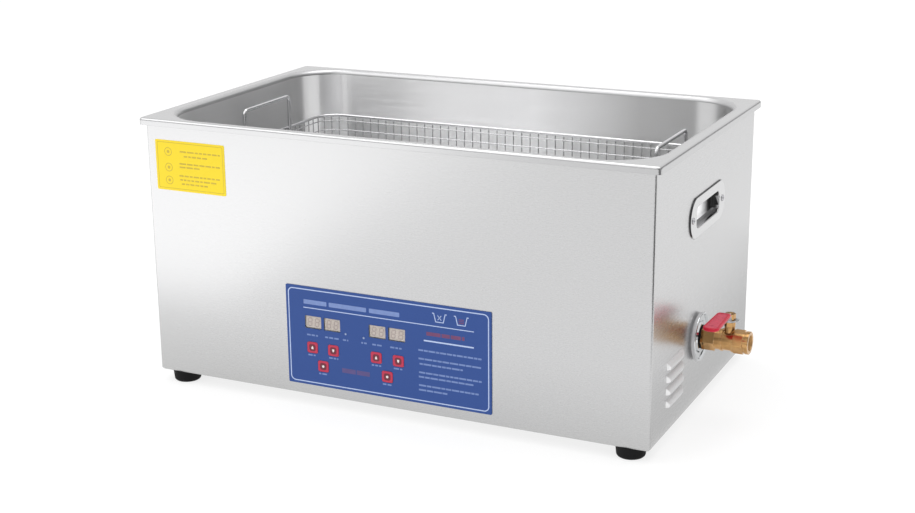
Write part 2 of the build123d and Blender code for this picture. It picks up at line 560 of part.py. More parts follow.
with BuildPart() as drain_spud:
    with Locations((DRAIN_X, VALVE_Y, TANK_FLOOR_Z + 1)):
        Cylinder(15, 2)
    fillet(drain_spud.edges().group_by(Axis.Z)[-1], 1)
    with Locations((DRAIN_X, VALVE_Y, TANK_FLOOR_Z)):
        Cylinder(SPUD_R, 18, align=(Align.CENTER, Align.CENTER, Align.MAX))
        Cylinder(HOSE_BORE_R - 0.1, 25, align=(Align.CENTER, Align.CENTER, Align.MAX))
        Cylinder(5, 60, mode=Mode.SUBTRACT)
    chamfer(drain_spud.edges().group_by(Axis.Z)[-1].sort_by(SortBy.RADIUS)[0], 1.2)
write(drain_spud, "drain_spud")

with BuildPart() as drain_gasket:
    with Locations((DRAIN_X, VALVE_Y, TANK_UNDER_Z)):
        Cylinder(14.5, GASKET_T, align=(Align.CENTER, Align.CENTER, Align.MAX))
        Cylinder(SPUD_R + 0.1, 10, mode=Mode.SUBTRACT)
write(drain_gasket, "drain_gasket")

with BuildPart() as spud_nut:
    with BuildSketch(Plane.XY.offset(TANK_UNDER_Z - GASKET_T)):
        with Locations((DRAIN_X, VALVE_Y)):
            RegularPolygon(13, 6, major_radius=False)
            Circle(SPUD_R + GAP, mode=Mode.SUBTRACT)
    extrude(amount=-SPUD_NUT_T)
write(spud_nut, "spud_nut")

HOSE_TOP_Z = TANK_FLOOR_Z - 18.5
BEND_MID = BEND_R * (1 - math.sqrt(0.5))

with BuildPart() as drain_hose:
    with BuildLine():
        Line((DRAIN_X, VALVE_Y, HOSE_TOP_Z), (DRAIN_X, VALVE_Y, VALVE_Z + BEND_R))
        ThreePointArc((DRAIN_X, VALVE_Y, VALVE_Z + BEND_R),
                      (DRAIN_X + BEND_MID, VALVE_Y, VALVE_Z + BEND_MID),
                      (DRAIN_X + BEND_R, VALVE_Y, VALVE_Z))
        Line((DRAIN_X + BEND_R, VALVE_Y, VALVE_Z), (BODY_X - 0.3, VALVE_Y, VALVE_Z))
    with BuildSketch(Plane.XY.offset(HOSE_TOP_Z)):
        with Locations((DRAIN_X, VALVE_Y)):
            Circle(HOSE_R)
            Circle(HOSE_BORE_R, mode=Mode.SUBTRACT)
    sweep()
write(drain_hose, "drain_hose")

# ---- Control panel: overlay, lenses, keys and the board behind them ------------------------------------

KEY_T, KEY_PROUD = 0.75, 0.4
SWITCH_H, BOARD_Y = 3.5, -145.0
BOARD_T = 1.6
OVERLAY_FACE = FRONT.offset(OVERLAY_T)

with BuildPart() as panel_overlay:
    with BuildSketch(FRONT):
        with Locations((0, (OVERLAY_Z0 + OVERLAY_Z1) / 2)):
            RectangleRounded(OVERLAY_W, OVERLAY_Z1 - OVERLAY_Z0, 1.2)
        with Locations(*[(x, WINDOW_Z) for x in WINDOW_X]):
            RectangleRounded(WINDOW_W, WINDOW_H, 0.8, mode=Mode.SUBTRACT)
        with Locations(*KEYS):
            RectangleRounded(KEY_W + 2 * KEY_GAP, KEY_H + 2 * KEY_GAP, 2.25, mode=Mode.SUBTRACT)
        with Locations(*LEDS):
            Circle(1.1, mode=Mode.SUBTRACT)
    extrude(amount=OVERLAY_T)
    fillet(panel_overlay.edges().group_by(Axis.Y)[0].sort_by(Axis.X)[0], 0.2)
write(panel_overlay, "panel_overlay")

with BuildPart() as display_lenses:
    with BuildSketch(FRONT):
        with Locations(*[(x, WINDOW_Z) for x in WINDOW_X]):
            RectangleRounded(WINDOW_W, WINDOW_H, 0.8)
        with Locations(*LEDS):
            Circle(1.1)
    extrude(amount=OVERLAY_T)
write(display_lenses, "display_lenses")

for number, (key_x, key_z) in enumerate(KEYS, start=1):
    with BuildPart() as key:
        with BuildSketch(OVERLAY_FACE.offset(KEY_PROUD)):
            with Locations((key_x, key_z)):
                RectangleRounded(KEY_W, KEY_H, 2)
        extrude(amount=-KEY_T)
        fillet(key.edges().group_by(Axis.Y)[0], 0.3)
        with BuildSketch(OVERLAY_FACE.offset(KEY_PROUD - KEY_T)):
            with Locations((key_x, key_z)):
                Circle(KEY_STEM_R)
        extrude(amount=-2.45)
        with BuildSketch(OVERLAY_FACE.offset(KEY_PROUD - KEY_T - 2.45)):
            with Locations((key_x, key_z)):
                Circle(KEY_TIP_R)
        extrude(amount=-5.8)
    write(key, f"key_{number}")

with BuildPart() as display_modules:
    with BuildSketch(Plane.XZ.offset(-BOARD_Y)):
        with Locations(*[(x, WINDOW_Z) for x in WINDOW_X]):
            Rectangle(WINDOW_W - 0.8, WINDOW_H - 0.8)
    extrude(amount=9.7)
    chamfer(display_modules.edges().group_by(Axis.Y)[0], 0.2)
write(display_modules, "display_modules")

BOARD_X, BOARD_W, BOARD_Z0, BOARD_Z1 = -35.0, 150.0, 30.0, 104.0
board_corners = [
    (BOARD_X + side * (BOARD_W / 2 - 5), z) for side in (-1, 1) for z in (BOARD_Z0 + 5, BOARD_Z1 - 5)]
DRIVER_X, DRIVER_Y, DRIVER_W, DRIVER_D, DRIVER_Z = -60.0, -20.0, 200.0, 140.0, 24.0
driver_corners = [
    (DRIVER_X + side * (DRIVER_W / 2 - 6), DRIVER_Y + end * (DRIVER_D / 2 - 6))
    for side in (-1, 1) for end in (-1, 1)]

with BuildPart() as control_board:
    with BuildSketch(Plane.XZ.offset(-BOARD_Y)):
        with Locations((BOARD_X, (BOARD_Z0 + BOARD_Z1) / 2)):
            RectangleRounded(BOARD_W, BOARD_Z1 - BOARD_Z0, 2)
        with Locations(*board_corners):
            Circle(1.6, mode=Mode.SUBTRACT)
    extrude(amount=-BOARD_T)
    with BuildSketch(Plane.XZ.offset(-BOARD_Y)):
        with Locations(*KEYS):
            RectangleRounded(6, 6, 0.5)
    extrude(amount=SWITCH_H)
    with BuildSketch(Plane.XZ.offset(-BOARD_Y + SWITCH_H)):
        with Locations(*KEYS):
            Circle(KEY_TIP_R + 0.1)
    extrude(amount=-2, mode=Mode.SUBTRACT)
    with Locations((BOARD_X - 20, BOARD_Y + BOARD_T + 1.2, 60), (BOARD_X + 22, BOARD_Y + BOARD_T + 1.2, 60)):
        Box(18, 2.6, 10)
    with Locations((BOARD_X, BOARD_Y + BOARD_T + 4, 38)):
        Box(30, 8.2, 7)
write(control_board, "control_board")

with BuildPart() as board_standoffs:
    with BuildSketch(Plane.XZ.offset(-BOARD_Y)):
        with Locations(*board_corners):
            RegularPolygon(2.75, 6, major_radius=False)
    extrude(amount=BOARD_Y - FRONT_Y - SHEET)
    with BuildSketch(Plane.XY.offset(BASE_TOP_Z)):
        with Locations(*driver_corners):
            RegularPolygon(2.75, 6, major_radius=False)
    extrude(amount=DRIVER_Z - BASE_TOP_Z)
write(board_standoffs, "board_standoffs")

DRIVER_TOP = DRIVER_Z + BOARD_T

with BuildPart() as driver_board:
    with BuildSketch(Plane.XY.offset(DRIVER_Z)):
        with Locations((DRIVER_X, DRIVER_Y)):
            RectangleRounded(DRIVER_W, DRIVER_D, 2)
        with Locations(*driver_corners):
            Circle(1.6, mode=Mode.SUBTRACT)
    extrude(amount=BOARD_T)
    with BuildSketch(Plane.XY.offset(DRIVER_TOP)):
        with Locations((20, -20)):
            with GridLocations(0, 14, 1, 6):
                Rectangle(12, 11)
        with Locations((DRIVER_X - 30, -80)):
            with GridLocations(9, 0, 8, 1):
                Rectangle(3, 8)
        with Locations((DRIVER_X + 30, 40)):
            with GridLocations(16, 0, 3, 1):
                Rectangle(13, 6)
    extrude(amount=9)
write(driver_board, "driver_board")

with BuildPart() as heatsink:
    with Locations((-125, DRIVER_Y, DRIVER_TOP + 2)):
        Box(44, 100, 4)
        with Locations((0, 0, 14)):
            with GridLocations(5.5, 0, 8, 1):
                Box(1.6, 100, 26)
write(heatsink, "heatsink")

with BuildPart() as transformers:
    with Locations((-62, 10, DRIVER_TOP), (-62, -45, DRIVER_TOP)):
        with Locations((0, 0, 14)):
            Box(34, 12, 28)
        with Locations((0, 0, 3)):
            Box(28, 34, 6)
        with Locations((0, 0, 14)):
            Cylinder(12, 16)
write(transformers, "transformers")

with BuildPart() as capacitors:
    with BuildSketch(Plane.XY.offset(DRIVER_TOP)):
        with Locations((-22, 22), (-22, -2), (-22, -26), (-22, -62)):
            Circle(9)
    extrude(amount=30)
    fillet(capacitors.edges().group_by(Axis.Z)[-1], 1)
write(capacitors, "capacitors")

# ---- Transducers and heater pads under the tank --------------------------------------------------------

TRANSDUCER_X, TRANSDUCER_Y = (-165.0, -55.0, 55.0, 165.0), (-68.0, 68.0)
transducer_places = [(x, y) for x in TRANSDUCER_X for y in TRANSDUCER_Y]
FRONT_MASS_H, PIEZO_T, PIEZO_GAP, BACK_MASS_H = 22.0, 5.0, 0.4, 17.0
FRONT_MASS_Z = TANK_UNDER_Z - FRONT_MASS_H
PIEZO_Z = (FRONT_MASS_Z - PIEZO_T, FRONT_MASS_Z - 2 * PIEZO_T - PIEZO_GAP)
BACK_MASS_Z = PIEZO_Z[1] - BACK_MASS_H

with BuildPart() as transducer_front_masses:
    with Locations(*[(x, y, FRONT_MASS_Z) for x, y in transducer_places]):
        Cone(19, 22.5, FRONT_MASS_H, align=(Align.CENTER, Align.CENTER, Align.MIN))
        Cylinder(5, 10, align=(Align.CENTER, Align.CENTER, Align.MIN), mode=Mode.SUBTRACT)
write(transducer_front_masses, "transducer_front_masses")

with BuildPart() as transducer_piezo_rings:
    for level in PIEZO_Z:
        with BuildSketch(Plane.XY.offset(level)):
            with Locations(*transducer_places):
                Circle(19)
                Circle(7.5, mode=Mode.SUBTRACT)
        extrude(amount=PIEZO_T)
write(transducer_piezo_rings, "transducer_piezo_rings")

with BuildPart() as transducer_back_masses:
    with BuildSketch(Plane.XY.offset(BACK_MASS_Z)):
        with Locations(*transducer_places):
            Circle(19)
            Circle(5.1, mode=Mode.SUBTRACT)
    extrude(amount=BACK_MASS_H)
write(transducer_back_masses, "transducer_back_masses")

with BuildPart() as transducer_bolts:
    with Locations(*[(x, y, BACK_MASS_Z) for x, y in transducer_places]):
        Cylinder(8, 10, align=(Align.CENTER, Align.CENTER, Align.MAX))
        Cylinder(4.9, BACK_MASS_H + 2 * PIEZO_T + PIEZO_GAP + 9,
                 align=(Align.CENTER, Align.CENTER, Align.MIN))
    with BuildSketch(Plane.XY.offset(BACK_MASS_Z - 10)):
        with Locations(*transducer_places):
            RegularPolygon(4, 6, major_radius=False)
    extrude(amount=5, mode=Mode.SUBTRACT)
write(transducer_bolts, "transducer_bolts")

with BuildPart() as heater_pads:
    with BuildSketch(Plane.XY.offset(TANK_UNDER_Z)):
        with Locations((-20, 0)):
            RectangleRounded(340, 60, 6)
        with Locations((0, -108), (0, 108)):
            RectangleRounded(380, 22, 5)
    extrude(amount=-3)
write(heater_pads, "heater_pads")

# ---- Cooling fan ---------------------------------------------------------------------------------------

FAN_Y0 = REAR_Y - SHEET - FAN_T
FAN_BORE_R, ROTOR_R, HUB_R, SHAFT_R = 38.0, 36.5, 18.0, 1.5
FAN_PLANE = Plane.XZ.offset(-FAN_Y0)  # inner face of the fan; its normal points to the front

with BuildPart() as fan_frame:
    with BuildSketch(FAN_PLANE):
        with Locations((FAN_X, FAN_Z)):
            RectangleRounded(FAN_SIZE, FAN_SIZE, 4)
            Circle(FAN_BORE_R, mode=Mode.SUBTRACT)
            with GridLocations(2 * FAN_HOLE, 2 * FAN_HOLE, 2, 2):
                Circle(FOOT_HOLE_R, mode=Mode.SUBTRACT)
    extrude(amount=-FAN_T)
    with BuildSketch(FAN_PLANE):
        with Locations((FAN_X, FAN_Z)):
            Circle(19)
            with PolarLocations(0, 2, start_angle=45, angular_range=180):
                Rectangle(2 * FAN_BORE_R + 1, 4)
            Circle(SHAFT_R + GAP, mode=Mode.SUBTRACT)
    extrude(amount=-3)
    with BuildSketch(FAN_PLANE.offset(-3)):
        with Locations((FAN_X, FAN_Z)):
            Circle(4)
            Circle(SHAFT_R + GAP, mode=Mode.SUBTRACT)
    extrude(amount=-12)
write(fan_frame, "fan_frame")

with BuildPart() as fan_rotor:
    with BuildSketch(FAN_PLANE.offset(-4)):
        with Locations((FAN_X, FAN_Z)):
            Circle(HUB_R)
            Circle(HUB_R - 1.5, mode=Mode.SUBTRACT)
    extrude(amount=-18)
    with BuildSketch(FAN_PLANE.offset(-20)):
        with Locations((FAN_X, FAN_Z)):
            Circle(HUB_R)
    extrude(amount=-2)
    with BuildSketch(FAN_PLANE.offset(-0.5)):
        with Locations((FAN_X, FAN_Z)):
            Circle(SHAFT_R)
    extrude(amount=-20)
    for step in range(7):
        angle = 360 / 7 * step
        blade_plane = Plane(
            origin=(FAN_X, FAN_Y0 + 13, FAN_Z),
            x_dir=(-math.sin(math.radians(angle)), 0, math.cos(math.radians(angle))),
            z_dir=(math.cos(math.radians(angle)), 0, math.sin(math.radians(angle))),
        )
        with BuildSketch(blade_plane.offset(HUB_R - 0.8)):
            SlotOverall(21, 1.6, rotation=35)
        extrude(amount=ROTOR_R - HUB_R)
write(fan_rotor, "fan_rotor")

GUARD_R = 0.8

with BuildPart() as fan_guard:
    with Locations((FAN_X, REAR_Y + 2.3, FAN_Z)):
        for ring_r in (10.0, 19.0, 28.0, 37.0):
            Torus(ring_r, GUARD_R, rotation=HEAD_REAR)
    with Locations((FAN_X, REAR_Y + 1.1, FAN_Z)):
        for turn in (45, 135):
            Cylinder(GUARD_R, 2 * FAN_HOLE * math.sqrt(2) - 6.4, rotation=(0, turn, 0))
    with Locations(*[(FAN_X + sx * FAN_HOLE, REAR_Y + 1.0, FAN_Z + sz * FAN_HOLE)
                     for sx in (-1, 1) for sz in (-1, 1)]):
        Torus(3.4, GUARD_R, rotation=HEAD_REAR)
write(fan_guard, "fan_guard")

fan_screws = screws_at(
    pan_screw(FOOT_SCREW_R, 28.0),
    [((FAN_X + sx * FAN_HOLE, REAR_Y + 2.0, FAN_Z + sz * FAN_HOLE), HEAD_REAR)
     for sx in (-1, 1) for sz in (-1, 1)],
)
write(fan_screws, "fan_screws")

# ---- Mains inlet with fuse drawer and rocker switch ----------------------------------------------------

INLET_FACE_Y = REAR_Y + 3.0
ROCKER_Y, ROCKER_Z, ROCKER_R, ROCKER_W = 154.5, 88.0, 7.4, 22.0
ROCKER_TILT = 8.0  # half of the rocker's throw
ROCKER_FACE = 4.0  # from the pivot to the pressed half of the rocker's face
FUSE_Z, FUSE_W, FUSE_H = 72.5, 22.0, 9.0
SOCKET_Z = 53.5

with BuildPart() as power_inlet:
    with Locations((INLET_X, INLET_FACE_Y, INLET_Z)):
        Box(INLET_W + 6, 3, INLET_H + 6, align=(Align.CENTER, Align.MAX, Align.CENTER))
    fillet(power_inlet.edges().filter_by(Axis.Y), 3)
    fillet(power_inlet.edges().group_by(Axis.Y)[-1], 0.8)
    with Locations((INLET_X, REAR_Y, INLET_Z)):
        Box(INLET_W, 30, INLET_H, align=(Align.CENTER, Align.MAX, Align.CENTER))
    with BuildSketch(REAR.offset(3)):
        with Locations((-INLET_X, SOCKET_Z)):
            with BuildLine():
                Polyline((-12, 8), (-12, -3), (-7, -8), (7, -8), (12, -3), (12, 8), (-12, 8))
            make_face()
    extrude(amount=-18, mode=Mode.SUBTRACT)
    with Locations((INLET_X - 7, INLET_FACE_Y - 11, SOCKET_Z - 1),
                   (INLET_X + 7, INLET_FACE_Y - 11, SOCKET_Z - 1),
                   (INLET_X, INLET_FACE_Y - 11, SOCKET_Z + 3)):
        Box(2, 16, 4)
    with Locations((INLET_X, INLET_FACE_Y, FUSE_Z)):
        Box(FUSE_W + 0.4, 46, FUSE_H + 0.4, mode=Mode.SUBTRACT)
    with Locations((INLET_X, ROCKER_Y, ROCKER_Z)):
        Box(ROCKER_W + 0.4, 15.4, 15.4, mode=Mode.SUBTRACT)
        Cylinder(1.2 + GAP, ROCKER_W + 4, rotation=HEAD_RIGHT, mode=Mode.SUBTRACT)
write(power_inlet, "power_inlet")

with BuildPart() as fuse_drawer:
    with Locations((INLET_X, INLET_FACE_Y + 0.8, FUSE_Z)):
        Box(FUSE_W, 22.5, FUSE_H, align=(Align.CENTER, Align.MAX, Align.CENTER))
    fillet(fuse_drawer.edges().group_by(Axis.Y)[-1], 0.5)
    with Locations((INLET_X, INLET_FACE_Y + 0.8, FUSE_Z + FUSE_H / 2)):
        Box(8, 2.4, 3.2, mode=Mode.SUBTRACT)
    with Locations((INLET_X, INLET_FACE_Y - 14, FUSE_Z + FUSE_H / 2)):
        Box(FUSE_W - 4, 12, 8, mode=Mode.SUBTRACT)
write(fuse_drawer, "fuse_drawer")

with BuildPart() as power_rocker:
    with Locations((INLET_X, ROCKER_Y, ROCKER_Z)):
        Cylinder(ROCKER_R, ROCKER_W, rotation=HEAD_RIGHT)
    with BuildSketch(Plane.YZ.offset(INLET_X - ROCKER_W)):
        with Locations((ROCKER_Y + ROCKER_FACE, ROCKER_Z)):
            Rectangle(20, 20, align=(Align.MIN, Align.MAX))
            Rectangle(20, 20, rotation=-2 * ROCKER_TILT, align=(Align.MIN, Align.MIN))
    extrude(amount=2 * ROCKER_W, mode=Mode.SUBTRACT)
    with Locations((INLET_X, ROCKER_Y, ROCKER_Z)):
        Cylinder(1.2, ROCKER_W + 3, rotation=HEAD_RIGHT)
write(power_rocker, "power_rocker")

# ---- Label plate on the front --------------------------------------------------------------------------

with BuildPart() as label_plate:
    with BuildSketch(FRONT):
        with Locations((-210.4, 226.3)):
            RectangleRounded(79.0, 49.8, 1.5)
    extrude(amount=0.25)
write(label_plate, "label_plate")

# ---- Wire basket ---------------------------------------------------------------------------------------

BASKET_W, BASKET_D, BASKET_CORNER = 450.0, 264.0, 26.0  # on the centre line of the rim wire
BASKET_TOP_Z = 226.0
RIM_WIRE_R, HANDLE_WIRE_R, MESH_WIRE_R = 1.6, 2.0, 0.6
MESH_PITCH, HOOP_PITCH = 9.6, 10.5
HOOP_DROP = 5.7  # from the rim wire down to the first hoop
MESH_STEP = 2 * MESH_WIRE_R + LAYER_GAP  # spacing between two neighbouring layers of mesh wire
BASKET_FOOT_Z = TANK_FLOOR_Z + 0.1

RIM_Z = BASKET_TOP_Z - RIM_WIRE_R
FRAME_Z = TANK_FLOOR_Z + 9.6
LAYER_A_Z = FRAME_Z + RIM_WIRE_R + LAYER_GAP + MESH_WIRE_R
LAYER_B_Z = LAYER_A_Z + MESH_STEP
UPRIGHT_TOP_Z = RIM_Z - RIM_WIRE_R - LAYER_GAP
UPRIGHT_GROW, HOOP_SHRINK = MESH_STEP / 2, MESH_STEP / 2


def wire_loop(width, depth, corner, level, wire_r):
    """A closed rectangular loop of wire with rounded corners, centred on the basket."""
    x, y = width / 2, depth / 2
    mid = corner * (1 - math.sqrt(0.5))
    with BuildPart() as loop:
        with BuildLine() as path:
            Line((0, y, level), (x - corner, y, level))
            ThreePointArc((x - corner, y, level), (x - mid, y - mid, level), (x, y - corner, level))
            Line((x, y - corner, level), (x, corner - y, level))
            ThreePointArc((x, corner - y, level), (x - mid, mid - y, level), (x - corner, -y, level))
            Line((x - corner, -y, level), (corner - x, -y, level))
            ThreePointArc((corner - x, -y, level), (mid - x, mid - y, level), (-x, corner - y, level))
            Line((-x, corner - y, level), (-x, y - corner, level))
            ThreePointArc((-x, y - corner, level), (mid - x, y - mid, level), (corner - x, y, level))
            Line((corner - x, y, level), (0, y, level))
        with BuildSketch(Plane(origin=(0, y, level), z_dir=(1, 0, 0))):
            Circle(wire_r)
        sweep(path=path.wire())
    return loop.part


def reach(offset, half_width, half_depth, corner):
    """How far a floor wire can run to each side when it lies `offset` away from the basket's middle."""
    into_corner = abs(offset) - (half_width - corner)
    if into_corner <= 0:
        return half_depth
    return half_depth - corner + math.sqrt(corner ** 2 - into_corner ** 2)


def rows(length, pitch):
    """Evenly spaced positions, symmetrical about zero, that fit within the length."""
    count = int(length // pitch) + 1
    return [(index - (count - 1) / 2) * pitch for index in range(count)]


with BuildPart() as basket_rim:
    add(wire_loop(BASKET_W, BASKET_D, BASKET_CORNER, RIM_Z, RIM_WIRE_R))
write(basket_rim, "basket_rim")

with BuildPart() as basket_frame:
    add(wire_loop(BASKET_W - 22, BASKET_D - 16, BASKET_CORNER - 6, FRAME_Z, RIM_WIRE_R))
    foot_y = BASKET_D / 2 - 8
    with Locations(*[(x, y, BASKET_FOOT_Z) for x in (-150, 150) for y in (-foot_y, foot_y)]):
        Cylinder(2.2, FRAME_Z - BASKET_FOOT_Z, align=(Align.CENTER, Align.CENTER, Align.MIN))
    fillet(basket_frame.edges().group_by(Axis.Z)[0], 1)
write(basket_frame, "basket_frame")

with BuildPart() as basket_hoops:
    for index in range(8):
        add(wire_loop(BASKET_W - 2 * HOOP_SHRINK, BASKET_D - 2 * HOOP_SHRINK, BASKET_CORNER - HOOP_SHRINK,
                      RIM_Z - HOOP_DROP - index * HOOP_PITCH, MESH_WIRE_R))
write(basket_hoops, "basket_hoops")

half_w, half_d = BASKET_W / 2 + UPRIGHT_GROW, BASKET_D / 2 + UPRIGHT_GROW
corner_r = BASKET_CORNER + UPRIGHT_GROW
uprights = [(x, side * half_d) for x in rows(BASKET_W - 2 * BASKET_CORNER, MESH_PITCH) for side in (-1, 1)]
uprights += [(side * half_w, y) for y in rows(BASKET_D - 2 * BASKET_CORNER, MESH_PITCH) for side in (-1, 1)]
for turn in (18, 36, 54, 72):
    corner_x = half_w - corner_r + corner_r * math.cos(math.radians(turn))
    corner_y = half_d - corner_r + corner_r * math.sin(math.radians(turn))
    uprights += [(sx * corner_x, sy * corner_y) for sx in (-1, 1) for sy in (-1, 1)]

with BuildPart() as basket_uprights:
    with BuildSketch(Plane.XY.offset(LAYER_A_Z)):
        with Locations(*uprights):
            Circle(MESH_WIRE_R)
    extrude(amount=UPRIGHT_TOP_Z - LAYER_A_Z)
write(basket_uprights, "basket_uprights")

FLOOR_INSET = 0.5  # the floor wires stop just short of the wall's uprights

with BuildPart() as basket_floor_wires:
    for x in rows(BASKET_W - 18, MESH_PITCH):
        half = reach(x, BASKET_W / 2, BASKET_D / 2, BASKET_CORNER) - FLOOR_INSET
        with Locations((x, 0, LAYER_A_Z)):
            Cylinder(MESH_WIRE_R, 2 * half, rotation=HEAD_REAR)
    for y in rows(BASKET_D - 18, MESH_PITCH):
        half = reach(y, BASKET_D / 2, BASKET_W / 2, BASKET_CORNER) - FLOOR_INSET
        with Locations((0, y, LAYER_B_Z)):
            Cylinder(MESH_WIRE_R, 2 * half, rotation=HEAD_RIGHT)
write(basket_floor_wires, "basket_floor_wires")

GRIP_WIRE_X = BASKET_W / 2 - RIM_WIRE_R - LAYER_GAP - HANDLE_WIRE_R
GRIP_WIRE_Y, GRIP_WIRE_HALF = 4.3, 43.8
GRIP_WIRE_TOP_Z, GRIP_WIRE_BEND = 261.3 - HANDLE_WIRE_R, 5.0
GRIP_WIRE_LOW_Z = LAYER_B_Z + MESH_WIRE_R + LAYER_GAP

with BuildPart() as basket_handles:
    for grip_x in (-GRIP_WIRE_X, GRIP_WIRE_X):
        with BuildLine() as grip_line:
            FilletPolyline(
                (grip_x, GRIP_WIRE_Y - GRIP_WIRE_HALF, GRIP_WIRE_LOW_Z),
                (grip_x, GRIP_WIRE_Y - GRIP_WIRE_HALF, GRIP_WIRE_TOP_Z),
                (grip_x, GRIP_WIRE_Y + GRIP_WIRE_HALF, GRIP_WIRE_TOP_Z),
                (grip_x, GRIP_WIRE_Y + GRIP_WIRE_HALF, GRIP_WIRE_LOW_Z),
                radius=GRIP_WIRE_BEND)
        with BuildSketch(Plane.XY.offset(GRIP_WIRE_LOW_Z)):
            with Locations((grip_x, GRIP_WIRE_Y - GRIP_WIRE_HALF)):
                Circle(HANDLE_WIRE_R)
        sweep(path=grip_line.wire())
write(basket_handles, "basket_handles")
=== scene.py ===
"""Looks for the heated ultrasonic cleaner: materials, printed marks, camera, light and floor."""

import json
import math
import random

import bmesh
import bpy
from mathutils import Matrix, Vector


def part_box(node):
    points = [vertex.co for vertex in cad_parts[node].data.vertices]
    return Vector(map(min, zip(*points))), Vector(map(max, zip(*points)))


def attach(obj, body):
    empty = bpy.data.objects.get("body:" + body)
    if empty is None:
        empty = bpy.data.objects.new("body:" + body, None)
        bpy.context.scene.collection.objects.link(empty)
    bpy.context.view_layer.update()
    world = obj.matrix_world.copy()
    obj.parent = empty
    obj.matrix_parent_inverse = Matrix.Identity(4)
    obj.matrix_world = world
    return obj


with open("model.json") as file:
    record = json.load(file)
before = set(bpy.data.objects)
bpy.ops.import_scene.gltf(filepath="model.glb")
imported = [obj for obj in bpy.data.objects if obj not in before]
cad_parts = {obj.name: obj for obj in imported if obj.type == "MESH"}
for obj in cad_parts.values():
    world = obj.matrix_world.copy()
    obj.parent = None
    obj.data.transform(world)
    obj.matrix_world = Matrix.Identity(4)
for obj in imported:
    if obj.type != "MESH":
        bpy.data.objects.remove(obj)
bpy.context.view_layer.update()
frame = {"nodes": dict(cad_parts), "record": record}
record = frame["record"]
MM = 0.001


def srgb(r, g, b):
    """A display colour (0 to 255) as the linear values that materials use."""
    def linear(value):
        value /= 255
        return value / 12.92 if value <= 0.04045 else ((value + 0.055) / 1.055) ** 2.4
    return (linear(r), linear(g), linear(b), 1.0)


# ---- Materials -----------------------------------------------------------------------------------------


class Shader:
    """A node material under construction, with short calls for adding and joining nodes."""

    def __init__(self, name):
        self.material = bpy.data.materials.new(name)
        self.material.use_nodes = True
        self.tree = self.material.node_tree
        self.tree.nodes.clear()
        self.output = self.node("ShaderNodeOutputMaterial")
        self.bsdf = self.node("ShaderNodeBsdfPrincipled")
        self.join(self.bsdf.outputs["BSDF"], self.output.inputs["Surface"])
        self.place = self.node("ShaderNodeTexCoord").outputs["Object"]

    def node(self, kind, **settings):
        made = self.tree.nodes.new(kind)
        for key, value in settings.items():
            setattr(made, key, value)
        return made

    def join(self, source, target):
        self.tree.links.new(source, target)

    def put(self, target, value):
        """Sets an input to a number or a colour, or joins an output to it."""
        if isinstance(value, bpy.types.NodeSocket):
            self.join(value, target)
        else:
            target.default_value = value

    def noise(self, scale, stretch=(1, 1, 1), detail=4.0, rough=0.55):
        """A 0-to-1 noise pattern; stretch above 1 along an axis makes it finer that way."""
        mapping = self.node("ShaderNodeMapping")
        mapping.inputs["Scale"].default_value = stretch
        self.join(self.place, mapping.inputs["Vector"])
        made = self.node("ShaderNodeTexNoise")
        made.inputs["Scale"].default_value = scale
        made.inputs["Detail"].default_value = detail
        made.inputs["Roughness"].default_value = rough
        self.join(mapping.outputs["Vector"], made.inputs["Vector"])
        return made.outputs["Fac"]

    def spread(self, source, low, high, start=0.3, end=0.7):
        """Maps a pattern's middle range onto low to high."""
        made = self.node("ShaderNodeMapRange")
        made.inputs["From Min"].default_value = start
        made.inputs["From Max"].default_value = end
        made.inputs["To Min"].default_value = low
        made.inputs["To Max"].default_value = high
        self.join(source, made.inputs["Value"])
        return made.outputs["Result"]

    def mix(self, amount, first, second):
        """Blends two colours."""
        made = self.node("ShaderNodeMix", data_type="RGBA")
        self.put(made.inputs[0], amount)
        self.put(made.inputs[6], first)
        self.put(made.inputs[7], second)
        return made.outputs[2]

    def edges(self, reach):
        """1 along edges, fading to 0 at `reach` metres from them."""
        bevel = self.node("ShaderNodeBevel", samples=4)
        bevel.inputs["Radius"].default_value = reach
        dot = self.node("ShaderNodeVectorMath", operation="DOT_PRODUCT")
        self.join(bevel.outputs["Normal"], dot.inputs[0])
        self.join(self.node("ShaderNodeNewGeometry").outputs["Normal"], dot.inputs[1])
        return self.spread(dot.outputs["Value"], 1.0, 0.0, 0.80, 0.995)

    def relief(self, pattern, strength, distance=0.0002, soft_edge=0.0):
        """Bumps the surface by a pattern, over edges rounded by soft_edge metres."""
        bump = self.node("ShaderNodeBump")
        bump.inputs["Strength"].default_value = strength
        bump.inputs["Distance"].default_value = distance
        self.join(pattern, bump.inputs["Height"])
        if soft_edge:
            bevel = self.node("ShaderNodeBevel", samples=4)
            bevel.inputs["Radius"].default_value = soft_edge
            self.join(bevel.outputs["Normal"], bump.inputs["Normal"])
        self.join(bump.outputs["Normal"], self.bsdf.inputs["Normal"])


materials = {}


